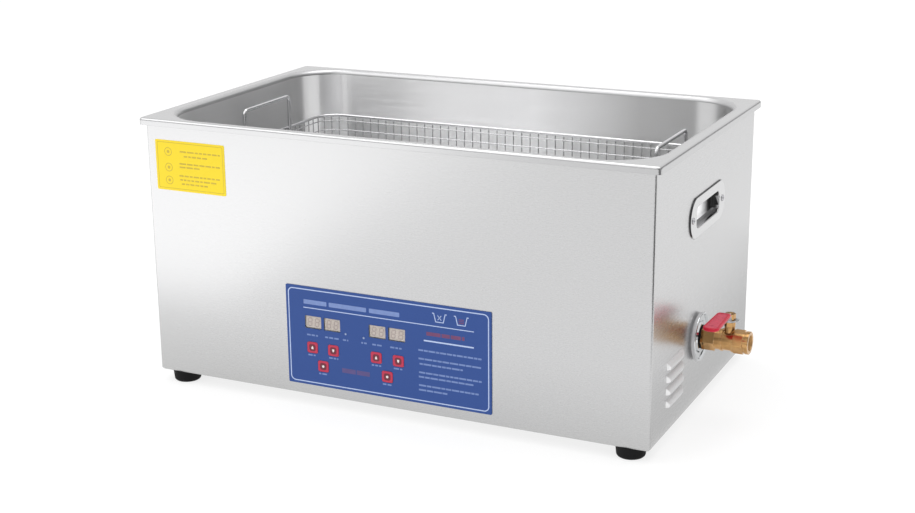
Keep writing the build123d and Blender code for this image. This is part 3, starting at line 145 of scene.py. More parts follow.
def finish(name, color, metallic=0.0, rough=0.4, rough_swing=0.08, tint=0.06, grain=900.0, stretch=(1, 1, 1),
           relief=0.08, soft_edge=0.0002, edge_wear_and_sheen=None, wear=0.5, reach=0.0006, coat=0.0, blotch=14.0, painted_shades=(),
           brushed=0.0, glow=0.0, highlight_streaks=(), **extra):
    """Files a procedural surface under its name: blotchy tint, grained roughness and bump, edges recoloured
    by wear and, on the brass, lightened by a painted highlight.

    Each painted shade is (axis, start, end, shade): painted shade that turns the colour into the given grey
    between two places in metres.
    A little glow in the surface's own colour stands in for light that bounces around inside a hollow.
    Highlight streaks are (x, brightness) pairs: painted highlights, soft upright streaks of reflected light
    along X, in metres.
    """
    shader = Shader(name)
    bsdf = shader.bsdf
    fine = shader.noise(grain, stretch)
    broad = shader.noise(blotch, detail=3.0)
    dark = tuple(c * (1 - tint) for c in color[:3]) + (1.0,)
    light = tuple(min(1.0, c * (1 + tint)) for c in color[:3]) + (1.0,)
    base = shader.mix(shader.spread(broad, 0.0, 1.0), dark, light)
    for axis, start, end, shade in painted_shades:
        split = shader.node("ShaderNodeSeparateXYZ")
        shader.join(shader.place, split.inputs[0])
        amount = shader.spread(split.outputs[axis], 0.0, 1.0, start, end)
        base = shader.mix(amount, base, (shade, shade, shade, 1))
    if edge_wear_and_sheen:
        spots = shader.noise(260.0, detail=5.0)
        gate = shader.node("ShaderNodeMath", operation="MULTIPLY")
        shader.join(shader.edges(reach), gate.inputs[0])
        shader.join(shader.spread(spots, 0.0, wear, 0.25, 0.6), gate.inputs[1])
        base = shader.mix(gate.outputs[0], base, edge_wear_and_sheen)
    shader.join(base, bsdf.inputs["Base Color"])
    if glow:
        shader.join(base, bsdf.inputs["Emission Color"])
        bsdf.inputs["Emission Strength"].default_value = glow
    if highlight_streaks:
        split = shader.node("ShaderNodeSeparateXYZ")
        shader.join(shader.place, split.inputs[0])
        curve = shader.node("ShaderNodeFloatCurve")
        line = curve.mapping.curves[0]
        widest = max(abs(x) for x, _ in highlight_streaks)
        line.points[0].location = (0.0, highlight_streaks[0][1])
        line.points[-1].location = (1.0, highlight_streaks[-1][1])
        for x, value in highlight_streaks[1:-1]:
            line.points.new((x + widest) / (2 * widest), value)
        for point in line.points:
            point.handle_type = "AUTO_CLAMPED"
        curve.mapping.update()
        shader.join(shader.spread(split.outputs["X"], 0.0, 1.0, -widest, widest), curve.inputs["Value"])
        shader.join(curve.outputs["Value"], bsdf.inputs["Emission Strength"])
        bsdf.inputs["Emission Color"].default_value = (1, 1, 1, 1)
    bsdf.inputs["Metallic"].default_value = metallic
    average = shader.node("ShaderNodeMath", operation="MULTIPLY_ADD")
    shader.join(fine, average.inputs[0])
    average.inputs[1].default_value = 0.6
    half = shader.node("ShaderNodeMath", operation="MULTIPLY")
    shader.join(broad, half.inputs[0])
    half.inputs[1].default_value = 0.4
    shader.join(half.outputs[0], average.inputs[2])
    roughness = shader.spread(average.outputs[0], rough - rough_swing, rough + rough_swing)
    shader.join(roughness, bsdf.inputs["Roughness"])
    bsdf.inputs["Coat Weight"].default_value = coat
    bsdf.inputs["Coat Roughness"].default_value = 0.12
    if brushed:
        tangent = shader.node("ShaderNodeTangent", direction_type="RADIAL", axis="Z")
        shader.join(tangent.outputs["Tangent"], bsdf.inputs["Tangent"])
        bsdf.inputs["Anisotropic"].default_value = brushed
        bsdf.inputs["Anisotropic Rotation"].default_value = 0.25
    for key, value in extra.items():
        bsdf.inputs[key.replace("_", " ")].default_value = value
    shader.relief(fine, relief, soft_edge=soft_edge)
    materials[name] = shader.material


GRAY_WORN = srgb(225, 225, 228)

# Sheet steel: the casing with its louvres, the tank and the handle plates
# The casing's colour darkens towards its bottom as painted shade.
finish("casing_steel", (0.577, 0.577, 0.581, 1), 1.0, 0.27, 0.015, 0.008, 1300, (0.05, 0.05, 3), 0.004,
       0.0004, blotch=2.5, painted_shades=(("Z", 0.085, 0.015, 0.520),))
# The louvres' tops carry painted light and glow, their undersides painted shade, their front ends a painted
# highlight.
finish("louvre_painted_light", (0.56, 0.56, 0.565, 1), 0.10, 0.50, 0.03, 0.02, 1300, (0.05, 0.05, 3), 0.01,
       0.0004, blotch=2.5, glow=0.22)
finish("louvre_painted_shade", (0.40, 0.40, 0.405, 1), 0.75, 0.45, 0.03, 0.02, 1300, (0.05, 0.05, 3), 0.01,
       0.0004, blotch=2.5)
finish("louvre_painted_highlight", (0.90, 0.90, 0.905, 1), 0.8, 0.35, 0.03, 0.02, 1300, (0.05, 0.05, 3), 0.01, 0.0004,
       blotch=2.5)
finish("tank_steel", (0.53, 0.53, 0.535, 1), 1.0, 0.22, 0.03, 0.015, 900, relief=0.01, soft_edge=0.0004,
       blotch=4.0)
finish("tank_mouth", (0.50, 0.50, 0.505, 1), 1.0, 0.40, 0.03, 0.015, 900, relief=0.01, soft_edge=0.0004,
       blotch=4.0)
# The tank's inside: painted light lifts it above the rim's steel, painted shade darkens the right and the
# left wall, painted highlight streaks.
finish("tank_inside_painted_light_and_shade", (0.92, 0.92, 0.925, 1), 1.0, 0.38, 0.07, 0.01, 420, (0.03, 0.03, 1), 0.03, 0.0004,
       blotch=4.0, brushed=0.85, painted_shades=(("X", 0.02, 0.14, 0.54), ("X", -0.225, -0.247, 0.70)),
       highlight_streaks=((-0.2505, 0.0), (-0.2478, 0.0), (-0.2450, 0.26), (-0.2395, 0.30), (-0.2345, 0.16),
                (-0.2300, 0.0), (-0.2130, 0.0), (-0.2090, 0.16), (-0.2050, 0.06), (-0.1900, 0.0),
                (-0.1500, 0.0), (-0.1200, 0.06), (-0.05, 0.06), (0.02, 0.03), (0.06, 0.0),
                (0.1950, 0.0), (0.2060, 0.20), (0.2180, 0.22), (0.2290, 0.0), (0.2505, 0.0)))
finish("handle_steel", (0.60, 0.60, 0.605, 1), 1.0, 0.20, 0.03, 0.015, 800, (5, 0.3, 5), 0.01, 0.0003)
# The cup's walls: a painted reflection, pale and glowing at the front, fading to painted shade towards the
# back.
finish("handle_cup_painted_reflection", (0.80, 0.80, 0.81, 1), 0.15, 0.30, 0.05, 0.03, 800, (5, 0.3, 5), 0.03, 0.0003,
       painted_shades=(("Y", -0.0040, 0.0210, 0.008),), glow=0.40)
# The cup's floor and the plate's outer edge are painted dark as painted shade.
finish("handle_cup_floor_painted_shade", (0.24, 0.24, 0.245, 1), 0.3, 0.34, 0.05, 0.03, 800, (5, 0.3, 5), 0.03, 0.0003)
finish("handle_edge_painted_shade", (0.055, 0.055, 0.058, 1), 0.8, 0.30, 0.04, 0.03, 800, (5, 0.3, 5), 0.02, 0.0002)

# Bright small metal: wires, screws and the drain valve with its red lever
finish("wire_steel", (0.62, 0.62, 0.63, 1), 1.0, 0.24, 0.06, 0.05, 900, relief=0.04, soft_edge=0.0)
finish("screw_steel", (0.52, 0.52, 0.54, 1), 1.0, 0.26, 0.08, 0.06, 1500, relief=0.06, edge_wear_and_sheen=GRAY_WORN,
       reach=0.0003)
finish("bright_plate", (0.62, 0.63, 0.64, 1), 1.0, 0.09, 0.03, 0.03, 900, relief=0.02, soft_edge=0.0003)
# The brass's pale edges are partly worn metal and partly a painted highlight.
finish("brass", (0.55, 0.315, 0.128, 1), 1.0, 0.16, 0.04, 0.15, 700, (4, 1, 1), 0.05, 0.0003,
       srgb(240, 214, 168), 1.0, reach=0.0007, blotch=90.0)
# The flange's back and outer side are lightened and glow: painted light.
finish("flange_side_painted_light", (0.50, 0.50, 0.505, 1), 0.3, 0.30, 0.03, 0.04, 900, relief=0.02, soft_edge=0.0,
       glow=0.25)
# The outlet's bore: painted light near its mouth, fading to painted shade deeper in.
finish("brass_bore_painted_light_and_shade", (0.50, 0.31, 0.14, 1), 0.4, 0.35, 0.08, 0.20, 700, (4, 1, 1), 0.10, blotch=150.0,
       glow=0.28, painted_shades=(("X", 0.3080, 0.3010, 0.03),))
finish("lever_steel", (0.52, 0.52, 0.53, 1), 1.0, 0.30, 0.08, 0.08, 900, (1, 0.2, 1), 0.06, 0.0002,
       GRAY_WORN, reach=0.0004)
finish("red_vinyl", srgb(206, 12, 50), 0.0, 0.36, 0.06, 0.05, 500, relief=0.06, soft_edge=0.0005,
       edge_wear_and_sheen=srgb(240, 120, 142), wear=1.0, reach=0.0010, coat=0.10, blotch=60.0, Specular_IOR_Level=0.3)
# The panel on top of the lever's sleeve is painted lighter as a painted highlight.
finish("red_vinyl_panel_painted_highlight", srgb(216, 60, 88), 0.0, 0.30, 0.06, 0.16, 500, relief=0.10, soft_edge=0.0003,
       coat=0.2, blotch=220.0)

# Rubber, seals and the control panel
finish("black_rubber", srgb(15, 15, 16), 0.0, 0.70, 0.10, 0.20, 1200, relief=0.30, edge_wear_and_sheen=srgb(52, 52, 52),
       wear=0.4, reach=0.0008, Specular_IOR_Level=0.2)
finish("silicone", srgb(226, 220, 204), 0.0, 0.42, 0.06, 0.04, 600, relief=0.08)
finish("seat_ptfe", srgb(238, 238, 232), 0.0, 0.38, 0.06, 0.03, 800, relief=0.06)
finish("overlay_blue", srgb(50, 80, 146), 0.0, 0.42, 0.04, 0.012, 1600, relief=0.05, soft_edge=0.0003,
       edge_wear_and_sheen=srgb(30, 48, 90), wear=0.5, blotch=7.0, Specular_IOR_Level=0.25)
finish("display_lens", (0.97, 0.97, 0.96, 1), 0.0, 0.12, 0.04, 0.01, 600, relief=0.02, soft_edge=0.0,
       Transmission_Weight=0.95, IOR=1.18)
finish("display_body", srgb(222, 210, 202), 0.0, 0.50, 0.06, 0.04, 900, relief=0.10)
finish("key_red", srgb(190, 34, 72), 0.0, 0.40, 0.06, 0.06, 900, relief=0.08, soft_edge=0.0003,
       edge_wear_and_sheen=srgb(216, 96, 124), wear=0.6, reach=0.0004, coat=0.1, blotch=300.0)
finish("label_yellow", srgb(250, 222, 48), 0.0, 0.42, 0.05, 0.015, 1200, relief=0.05, soft_edge=0.0,
       blotch=20.0, Specular_IOR_Level=0.2)

# Parts inside the casing and at its back
finish("board_green", srgb(22, 92, 52), 0.0, 0.34, 0.08, 0.12, 500, relief=0.10, edge_wear_and_sheen=srgb(170, 150, 90),
       wear=0.7, coat=0.3)
finish("nylon", srgb(230, 226, 212), 0.0, 0.46, 0.06, 0.04, 800, relief=0.10)
finish("heatsink_alu", (0.66, 0.67, 0.69, 1), 1.0, 0.38, 0.08, 0.05, 800, (1, 0.1, 1), 0.10, 0.0002,
       GRAY_WORN)
finish("ferrite", srgb(52, 50, 50), 0.1, 0.55, 0.10, 0.2, 900, relief=0.25, edge_wear_and_sheen=srgb(120, 116, 112))
finish("cap_sleeve", srgb(26, 34, 66), 0.0, 0.30, 0.06, 0.08, 900, relief=0.06, coat=0.3)
finish("transducer_alu", (0.70, 0.71, 0.72, 1), 1.0, 0.34, 0.08, 0.04, 900, (1, 1, 8), 0.12, 0.0003,
       GRAY_WORN)
finish("piezo", srgb(168, 158, 138), 0.2, 0.48, 0.08, 0.08, 700, relief=0.15)
finish("transducer_steel", (0.34, 0.34, 0.35, 1), 1.0, 0.40, 0.10, 0.10, 900, (1, 1, 8), 0.15, 0.0003,
       GRAY_WORN)
finish("heater_silicone", srgb(168, 82, 48), 0.0, 0.60, 0.08, 0.08, 700, (6, 1, 1), 0.30)
finish("fan_black", srgb(28, 28, 30), 0.0, 0.48, 0.08, 0.15, 900, relief=0.15, edge_wear_and_sheen=srgb(80, 80, 84),
       wear=0.4)
finish("switch_black", srgb(24, 24, 26), 0.0, 0.32, 0.06, 0.12, 900, relief=0.10, edge_wear_and_sheen=srgb(84, 84, 88),
       wear=0.4, coat=0.15)

# Printed marks
finish("print_white", srgb(186, 202, 236), 0.0, 0.42, 0.05, 0.03, 900, relief=0.05, soft_edge=0.0,
       blotch=60.0)
finish("print_title", srgb(118, 141, 196), 0.0, 0.42, 0.05, 0.06, 900, relief=0.05, soft_edge=0.0,
       blotch=300.0)
finish("print_soft", srgb(112, 136, 190), 0.0, 0.42, 0.05, 0.06, 900, relief=0.05, soft_edge=0.0,
       blotch=300.0)
finish("print_red", srgb(112, 60, 104), 0.0, 0.42, 0.05, 0.08, 900, relief=0.05, soft_edge=0.0,
       blotch=90.0)
finish("print_faint", srgb(84, 72, 128), 0.0, 0.42, 0.05, 0.08, 900, relief=0.05, soft_edge=0.0,
       blotch=90.0)
finish("print_olive", srgb(204, 176, 40), 0.0, 0.46, 0.05, 0.08, 900, relief=0.05, soft_edge=0.0,
       blotch=90.0)
finish("led_pale", srgb(150, 168, 204), 0.0, 0.30, 0.05, 0.05, 900, relief=0.05, soft_edge=0.0)
finish("key_well", srgb(108, 28, 48), 0.0, 0.42, 0.05, 0.10, 900, relief=0.05, soft_edge=0.0)
finish("key_mark", srgb(236, 226, 226), 0.0, 0.40, 0.05, 0.03, 900, relief=0.05, soft_edge=0.0)
finish("segment", srgb(188, 168, 164), 0.0, 0.45, 0.05, 0.04, 900, relief=0.05, soft_edge=0.0)

# Every CAD part takes the material of its slot
for entry in record["subparts"]:
    mesh = frame["nodes"][entry["node"]].data
    mesh.materials.clear()
    mesh.materials.append(materials[entry["material_slot"]])


def refinish(node, slot, inside):
    """Gives the polygons that pass a test of their centre and normal their own material."""
    mesh = frame["nodes"][node].data
    mesh.materials.append(materials[slot])
    for polygon in mesh.polygons:
        if inside(polygon.center, polygon.normal):
            polygon.material_index = len(mesh.materials) - 1


# The bowl of the tank, painted with light and shade, and the rounded edge of its mouth, both inside its flat
# rim
_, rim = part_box("tank")
bowl_x, bowl_y = rim.x - 0.0145, rim.y - 0.0105
mouth_x, mouth_y = rim.x - 0.0115, rim.y - 0.0075
refinish("tank", "tank_inside_painted_light_and_shade", lambda at, normal: abs(at.x) < bowl_x and abs(at.y) < bowl_y
         and at.z < rim.z - 0.0002)
refinish("tank", "tank_mouth", lambda at, normal: abs(at.x) < mouth_x and abs(at.y) < mouth_y
         and rim.z - 0.0048 < at.z < rim.z - 0.0001)

# Each handle plate: a painted reflection fading to painted shade on the walls of its finger cup, painted
# shade on the cup's floor and on the outer edge that lies in shade
CUP_DEPTH = 0.0022  # the cup begins this far behind the plate's face
SHADED_EDGE_DEPTH = 0.0018
for node in ("right_handle_plate", "left_handle_plate"):
    plate_low, plate_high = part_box(node)
    plate_face = max(abs(plate_low.x), abs(plate_high.x))
    near_y, foot_z, top_z = plate_low.y + 0.018, plate_low.z + 0.004, plate_high.z - 0.004
    refinish(node, "handle_cup_painted_reflection", lambda at, normal: abs(at.x) < plate_face - CUP_DEPTH)
    refinish(node, "handle_cup_floor_painted_shade", lambda at, normal: abs(at.x) < plate_face - CUP_DEPTH
             and normal.z > 0.5)
    refinish(node, "handle_edge_painted_shade", lambda at, normal: abs(at.x) > plate_face - SHADED_EDGE_DEPTH
             and abs(normal.x) < 0.8 and (at.y < near_y or at.z > top_z) and at.z > foot_z)

# The pressed louvres stand proud of the casing's flat sides: painted light on top, painted shade below, a
# painted highlight on the ends facing the front
SIDE_X = 0.2601  # just outside the flat sides
refinish("casing_wrap", "louvre_painted_light", lambda at, normal: abs(at.x) > SIDE_X)
refinish("casing_wrap", "louvre_painted_shade", lambda at, normal: abs(at.x) > SIDE_X and normal.z < -0.05)
refinish("casing_wrap", "louvre_painted_highlight", lambda at, normal: abs(at.x) > SIDE_X and normal.y < -0.35)

# The drain valve: painted light on its flange's back, painted light and shade in the bore of its outlet, and
# a painted highlight on the panel pressed into the lever's sleeve
BORE_R = 0.0076
flange_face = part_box("valve_flange")[1].x
refinish("valve_flange", "flange_side_painted_light", lambda at, normal: normal.x < -0.1 or at.x < flange_face - 0.0025
         and abs(normal.x) < 0.6)
cap_low, cap_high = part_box("valve_end_cap")
valve_y, valve_z = (cap_low.y + cap_high.y) / 2, (cap_low.z + cap_high.z) / 2
refinish("valve_end_cap", "brass_bore_painted_light_and_shade",
         lambda at, normal: math.hypot(at.y - valve_y, at.z - valve_z) < BORE_R)
sleeve_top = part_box("lever_sleeve")[1].z
refinish("lever_sleeve", "red_vinyl_panel_painted_highlight", lambda at, normal: normal.z > 0.9 and at.z < sleeve_top - 0.0002
         and at.z > sleeve_top - 0.0005)

# ---- Printed marks: thin closed solids lying on the overlay, keys, displays and label --------------------

PRINT = 0.03 * MM  # the thickness of a print


def prism(mesh, outline, face_y, depth, index=0):
    """Adds a closed prism to a bmesh: outline is (x, z) points, counter-clockwise from the front."""
    front = [mesh.verts.new((x, face_y - depth, z)) for x, z in outline]
    back = [mesh.verts.new((x, face_y, z)) for x, z in outline]
    faces = [mesh.faces.new(front), mesh.faces.new(list(reversed(back)))]
    for i in range(len(outline)):
        j = (i + 1) % len(outline)
        faces.append(mesh.faces.new((front[j], front[i], back[i], back[j])))
    for face in faces:
        face.material_index = index


def bar(x0, x1, z0, z1):
    """The outline of a rectangle."""
    return [(x0, z0), (x1, z0), (x1, z1), (x0, z1)]


def disc(x, z, radius, steps=32):
    """The outline of a disc."""
    return [(x + radius * math.cos(2 * math.pi * i / steps), z + radius * math.sin(2 * math.pi * i / steps))
            for i in range(steps)]


def rounded(x0, x1, z0, z1, radius, steps=8):
    """The outline of a rectangle with rounded corners."""
    points = []
    for cx, cz, start in ((x1 - radius, z1 - radius, 0), (x0 + radius, z1 - radius, 90),
                          (x0 + radius, z0 + radius, 180), (x1 - radius, z0 + radius, 270)):
        for i in range(steps + 1):
            angle = math.radians(start + 90 * i / steps)
            points.append((cx + radius * math.cos(angle), cz + radius * math.sin(angle)))
    return points


def hoop(mesh, outer, inner, face_y, depth):
    """Adds a closed flat ring between two outlines that have the same number of points."""
    count = len(outer)
    rings = []
    for y in (face_y - depth, face_y):
        rings.append([mesh.verts.new((x, y, z)) for x, z in outer])
        rings.append([mesh.verts.new((x, y, z)) for x, z in inner])
    front_out, front_in, back_out, back_in = rings
    for i in range(count):
        j = (i + 1) % count
        for quad in ((front_out[i], front_out[j], front_in[j], front_in[i]),
                     (back_out[j], back_out[i], back_in[i], back_in[j]),
                     (front_out[j], front_out[i], back_out[i], back_out[j]),
                     (front_in[i], front_in[j], back_in[j], back_in[i])):
            mesh.faces.new(quad)


def piece(name, mesh, body, slots):
    """Turns a bmesh in metres into an object that rides a body."""
    bmesh.ops.recalc_face_normals(mesh, faces=mesh.faces)
    data = bpy.data.meshes.new(name)
    mesh.to_mesh(data)
    mesh.free()
    for slot in slots:
        data.materials.append(materials[slot])
    made = bpy.data.objects.new(name, data)
    bpy.context.scene.collection.objects.link(made)
    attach(made, body)


def scaled(outline, origin_x, origin_z):
    """An outline in millimetres, measured from an origin in metres."""
    return [(origin_x + x * MM, origin_z + z * MM) for x, z in outline]


overlay_low, overlay_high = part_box("panel_overlay")
panel_x, panel_z, panel_y = (overlay_low.x + overlay_high.x) / 2, overlay_low.z, overlay_low.y
half_w, panel_h = (overlay_high.x - overlay_low.x) / 2 / MM, (overlay_high.z - overlay_low.z) / MM
KEYS = 6
draw = random.Random(7)


def on_panel(mesh, outline, index=0):
    """Prints an outline on the overlay: millimetres from its centre line and from its lower edge."""
    prism(mesh, scaled(outline, panel_x, panel_z), panel_y, PRINT, index)


def stroke(points, half):
    """The outline of a line of even width drawn through points."""
    sides = []
    for i, (x, z) in enumerate(points):
        before = points[max(0, i - 1)]
        after = points[min(len(points) - 1, i + 1)]
        first = Vector((x - before[0], z - before[1])).normalized() if i else None
        last = Vector((after[0] - x, after[1] - z)).normalized() if i < len(points) - 1 else None
        along = ((first or last) + (last or first)).normalized()
        across = Vector((-along.y, along.x))
        square = Vector((-(last or first).y, (last or first).x))
        reach = half / max(0.4, across.dot(square))
        sides.append((Vector((x, z)) + across * reach, Vector((x, z)) - across * reach))
    return [tuple(right) for _, right in sides] + [tuple(left) for left, _ in reversed(sides)]


def words(mesh, x0, x1, z, height, longest=7.0, gap=1.1, target=on_panel, index=0):
    """A greeked line of small print: blocks of varying length with gaps between them."""
    x = x0
    while x < x1 - 1.0:
        end = min(x1, x + draw.uniform(0.35, 1.0) * longest)
        target(mesh, bar(x, end, z - height / 2, z + height / 2), index)
        x = end + gap


def panel_frame(inset, radius):
    """A rounded outline parallel to the overlay's edge, in metres."""
    return scaled(rounded(-half_w + inset, half_w - inset, inset, panel_h - inset, radius), panel_x, panel_z)


# The overlay's border line, two rules and two plain signs of a tank
white = bmesh.new()
hoop(white, panel_frame(2.4, 5.2), panel_frame(3.4, 4.2), panel_y, PRINT)
on_panel(white, bar(-89.0, 90.4, 78.1, 78.9))
on_panel(white, bar(39.3, 90.3, 62.4, 63.8))
SIGN_TOP, SIGN_FOOT = 91.0, 82.9
for x0 in (48.2, 70.4):
    tank_line = [(x0, SIGN_TOP), (x0 + 1.7, SIGN_TOP), (x0 + 3.6, SIGN_FOOT), (x0 + 11.4, SIGN_FOOT),
                 (x0 + 13.3, SIGN_TOP), (x0 + 15.0, SIGN_TOP)]
    on_panel(white, stroke(tank_line, 0.4))
for slope in (-1, 1):
    on_panel(white, stroke([(55.7 - slope * 1.9, 84.9), (55.7 + slope * 1.9, 89.3)], 0.3))
piece("panel_print_lines", white, "cabinet", ["print_white"])

# Three plain blocks in place of the title
title = bmesh.new()
for x0, x1 in ((-88.6, -63.5), (-61.0, -20.8), (-17.8, 14.2)):
    on_panel(title, rounded(x0, x1, 82.2, 86.6, 0.8))
piece("panel_print_title", title, "cabinet", ["print_title"])

# Small print: the paragraph on the right, and the captions of the displays, the lamps and the keys
small = bmesh.new()
for x0, x1, z in ((33.5, 98.0, 53.0), (33.5, 99.0, 44.6), (34.5, 79.0, 39.5), (33.8, 98.0, 31.0),
                  (33.5, 90.0, 26.6), (33.6, 95.0, 18.2), (33.5, 64.4, 13.6)):
    words(small, x0, x1, z, 1.7, longest=9.0, gap=0.7)
for x0, x1 in ((-86.0, -74.0), (-66.0, -51.0), (-46.6, -40.8), (-26.8, -21.0), (-15.0, -4.0), (4.0, 16.0)):
    words(small, x0, x1, 51.3, 1.6, longest=5.0)
for number in range(1, KEYS + 1):
    key_low, key_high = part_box(f"key_{number}")
    key_x = ((key_low.x + key_high.x) / 2 - panel_x) / MM
    key_z = (key_low.z - panel_z) / MM
    words(small, key_x - 5.0, key_x + 5.0, key_z - 2.3, 1.5, longest=6.0)
piece("panel_print_small", small, "cabinet", ["print_soft"])

# Red and violet print: two broken bars and the water lines in the second tank sign
red = bmesh.new()
words(red, -48.5, -16.5, 20.3, 4.6, longest=16.0, index=1)
words(red, 42.0, 81.0, 70.2, 3.6, longest=16.0)
for level in (84.9, 86.6, 88.3):
    on_panel(red, bar(75.2, 80.6, level - 0.4, level + 0.4))
piece("panel_print_red", red, "cabinet", ["print_red", "print_faint"])

# Two small lamps
leds = bmesh.new()
for led_x, led_z in ((-43.6, 57.4), (-24.2, 56.2)):
    on_panel(leds, disc(led_x, led_z, 1.0, 24))
piece("panel_led_caps", leds, "cabinet", ["led_pale"])

# Each key has a dark rounded field with an arrow up, an arrow down or a dot
KEY_MARKS = ([(-1.1, -1.5), (1.1, -1.5), (1.1, 0.1), (0.0, 1.8), (-1.1, 0.1)],
             [(-1.1, 1.5), (-1.1, -0.1), (0.0, -1.8), (1.1, -0.1), (1.1, 1.5)],
             disc(0, 0, 1.3))
for number in range(1, KEYS + 1):
    key_low, key_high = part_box(f"key_{number}")
    key_x, key_z = (key_low.x + key_high.x) / 2, (key_low.z + key_high.z) / 2
    mark = bmesh.new()
    prism(mark, scaled(rounded(-3.5, 3.5, -3.5, 3.5, 2.2), key_x, key_z), key_low.y, PRINT, 0)
    sign = KEY_MARKS[(number - 1) % len(KEY_MARKS)]
    prism(mark, scaled(sign, key_x, key_z), key_low.y - PRINT, PRINT, 1)
    piece(f"key_mark_{number}", mark, f"button_{number}", ["key_well", "key_mark"])

# Seven-segment figures on the display modules' faces, two to a pane, in millimetres
module_low, module_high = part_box("display_modules")
module_z = (module_low.z + module_high.z) / 2
FIGURE_W, FIGURE_H, SEGMENT_W = 5.0, 8.6, 1.0
FIGURE_X = 3.9  # from the middle of a pane to the middle of a figure
SLANT = 0.12
SEGMENT_GAP = 0.2
PANE_X = (-78.8, -58.2, -9.6, 11.0)


def segment(cx, cz, length, upright):
    """A seven-segment bar: a thin hexagon centred on (cx, cz), slanted like the figure."""
    h, t = length / 2, SEGMENT_W / 2
    points = [(-h, 0), (-h + t, -t), (h - t, -t), (h, 0), (h - t, t), (-h + t, t)]
    if upright:
        points = [(-b, a) for a, b in points]
    return [(cx + a + SLANT * (cz + b), cz + b) for a, b in points]


def figure(centre):
    """The seven bars of a figure 8."""
    across = (FIGURE_W - SEGMENT_W) / 2
    rise = (FIGURE_H - SEGMENT_W) / 2
    level_bars = [segment(centre, level * rise, 2 * across - SEGMENT_GAP, False) for level in (-1, 0, 1)]
    upright_bars = [segment(centre + side * across, level * rise, rise - SEGMENT_GAP, True)
                    for side in (-1, 1) for level in (-0.5, 0.5)]
    return level_bars + upright_bars


figures = bmesh.new()
for pane in PANE_X:
    for side in (-1, 1):
        for outline in figure(side * FIGURE_X):
            prism(figures, scaled(outline, panel_x + pane * MM, module_z), module_low.y, PRINT)
piece("display_figures", figures, "cabinet", ["segment"])

# Yellow plate: a thin border, three plain round marks and greeked lines
plate_low, plate_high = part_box("label_plate")
plate_x, plate_z, plate_y = plate_low.x, plate_low.z, plate_low.y
plate_w, plate_h = (plate_high.x - plate_low.x) / MM, (plate_high.z - plate_low.z) / MM


def on_plate(mesh, outline, index=0):
    """Prints an outline on the yellow plate: millimetres from its lower left corner."""
    prism(mesh, scaled(outline, plate_x, plate_z), plate_y, PRINT, index)


def ring_on_plate(mesh, outer, inner):
    """Prints a flat ring between two outlines on the yellow plate."""
    hoop(mesh, scaled(outer, plate_x, plate_z), scaled(inner, plate_x, plate_z), plate_y, PRINT)


plate_print = bmesh.new()
ring_on_plate(plate_print, rounded(2.0, plate_w - 2.0, 2.0, plate_h - 2.0, 1.2),
              rounded(2.5, plate_w - 2.5, 2.5, plate_h - 2.5, 0.9))
MARK_X = 14.5
for level in (38.5, 23.0, 10.1):
    ring_on_plate(plate_print, disc(MARK_X, level, 4.3), disc(MARK_X, level, 3.6))
    on_plate(plate_print, disc(MARK_X, level, 1.6))
for x0, x1, z in ((28.0, 74.0, 39.5), (32.5, 59.5, 35.0), (27.0, 73.4, 27.5), (27.0, 50.0, 24.1),
                  (26.3, 74.0, 15.5), (27.0, 69.3, 11.5), (28.5, 58.6, 7.5)):
    words(plate_print, x0, x1, z, 1.5, longest=8.0, target=on_plate)
piece("label_print", plate_print, "cabinet", ["print_olive"])

# ---- Floor, light and camera -----------------------------------------------------------------------------

FLOOR = 60.0  # half the floor's side: far enough that its edge never shows
floor_mesh = bpy.data.meshes.new("floor")
floor_mesh.from_pydata([(-FLOOR, -FLOOR, 0), (FLOOR, -FLOOR, 0), (FLOOR, FLOOR, 0), (-FLOOR, FLOOR, 0)],
                       [], [(0, 1, 2, 3)])
floor = bpy.data.objects.new("floor", floor_mesh)
bpy.context.scene.collection.objects.link(floor)
finish("floor_pale", (0.26, 0.26, 0.26, 1), 0.0, 0.8, 0.04, 0.004, 60, relief=0.0, soft_edge=0.0, blotch=1.0,
       Specular_IOR_Level=0.0, Emission_Color=(1, 1, 1, 1), Emission_Strength=0.76)
floor_mesh.materials.append(materials["floor_pale"])


def card(name, height, corners, brightness):
    """A card low over the floor that shows only as a reflection: black at 0, outshining the floor above 1."""
    data = bpy.data.meshes.new(name)
    data.from_pydata([(x, y, height) for x, y in corners], [], [tuple(range(len(corners)))])
    glow = Shader(name)
    glow.bsdf.inputs["Base Color"].default_value = (0, 0, 0, 1)
    glow.bsdf.inputs["Specular IOR Level"].default_value = 0.0
    glow.bsdf.inputs["Emission Color"].default_value = (1, 1, 1, 1)
    glow.bsdf.inputs["Emission Strength"].default_value = brightness
    data.materials.append(glow.material)
    made = bpy.data.objects.new(name, data)
    bpy.context.scene.collection.objects.link(made)
    made.visible_camera = False
    made.visible_diffuse = False
    made.visible_shadow = False
    made.visible_transmission = False


card("dark_floor_card", 0.004, [(0.50, -0.75), (1.5, -1.2), (1.6, 0.1), (0.62, -0.10)], 0.0)
card("bright_floor_card", 0.004, [(-1.7, -1.9), (-0.50, -1.9), (-0.33, -0.40), (-1.5, -0.30)], 1.75)
card("grey_floor_card", 0.005, [(0.27, -0.14), (0.335, -0.14), (0.37, 0.62), (0.27, 0.62)], 0.78)


def softbox(name, position, width, height, power):
    """A soft area light that points at the middle of the object."""
    data = bpy.data.lights.new(name, "AREA")
    data.shape = "RECTANGLE"
    data.size, data.size_y = width, height
    data.energy = power
    light = bpy.data.objects.new(name, data)
    light.location = position
    light.rotation_euler = (Vector((0, 0, 0.1)) - Vector(position)).to_track_quat("-Z", "Y").to_euler()
    bpy.context.scene.collection.objects.link(light)


softbox("key", (-1.6, -1.6, 2.4), 2.2, 2.2, 20)
softbox("top", (0, 0.2, 2.2), 1.8, 1.2, 18)

# The surroundings: bright all round and overhead, with a dark band low on the right that draws the edges
world = bpy.data.worlds.new("studio")
world.use_nodes = True
sky = world.node_tree


def sky_node(kind, **settings):
    """Adds a node to the surroundings."""
    made = sky.nodes.new(kind)
    for key, value in settings.items():
        setattr(made, key, value)
    return made


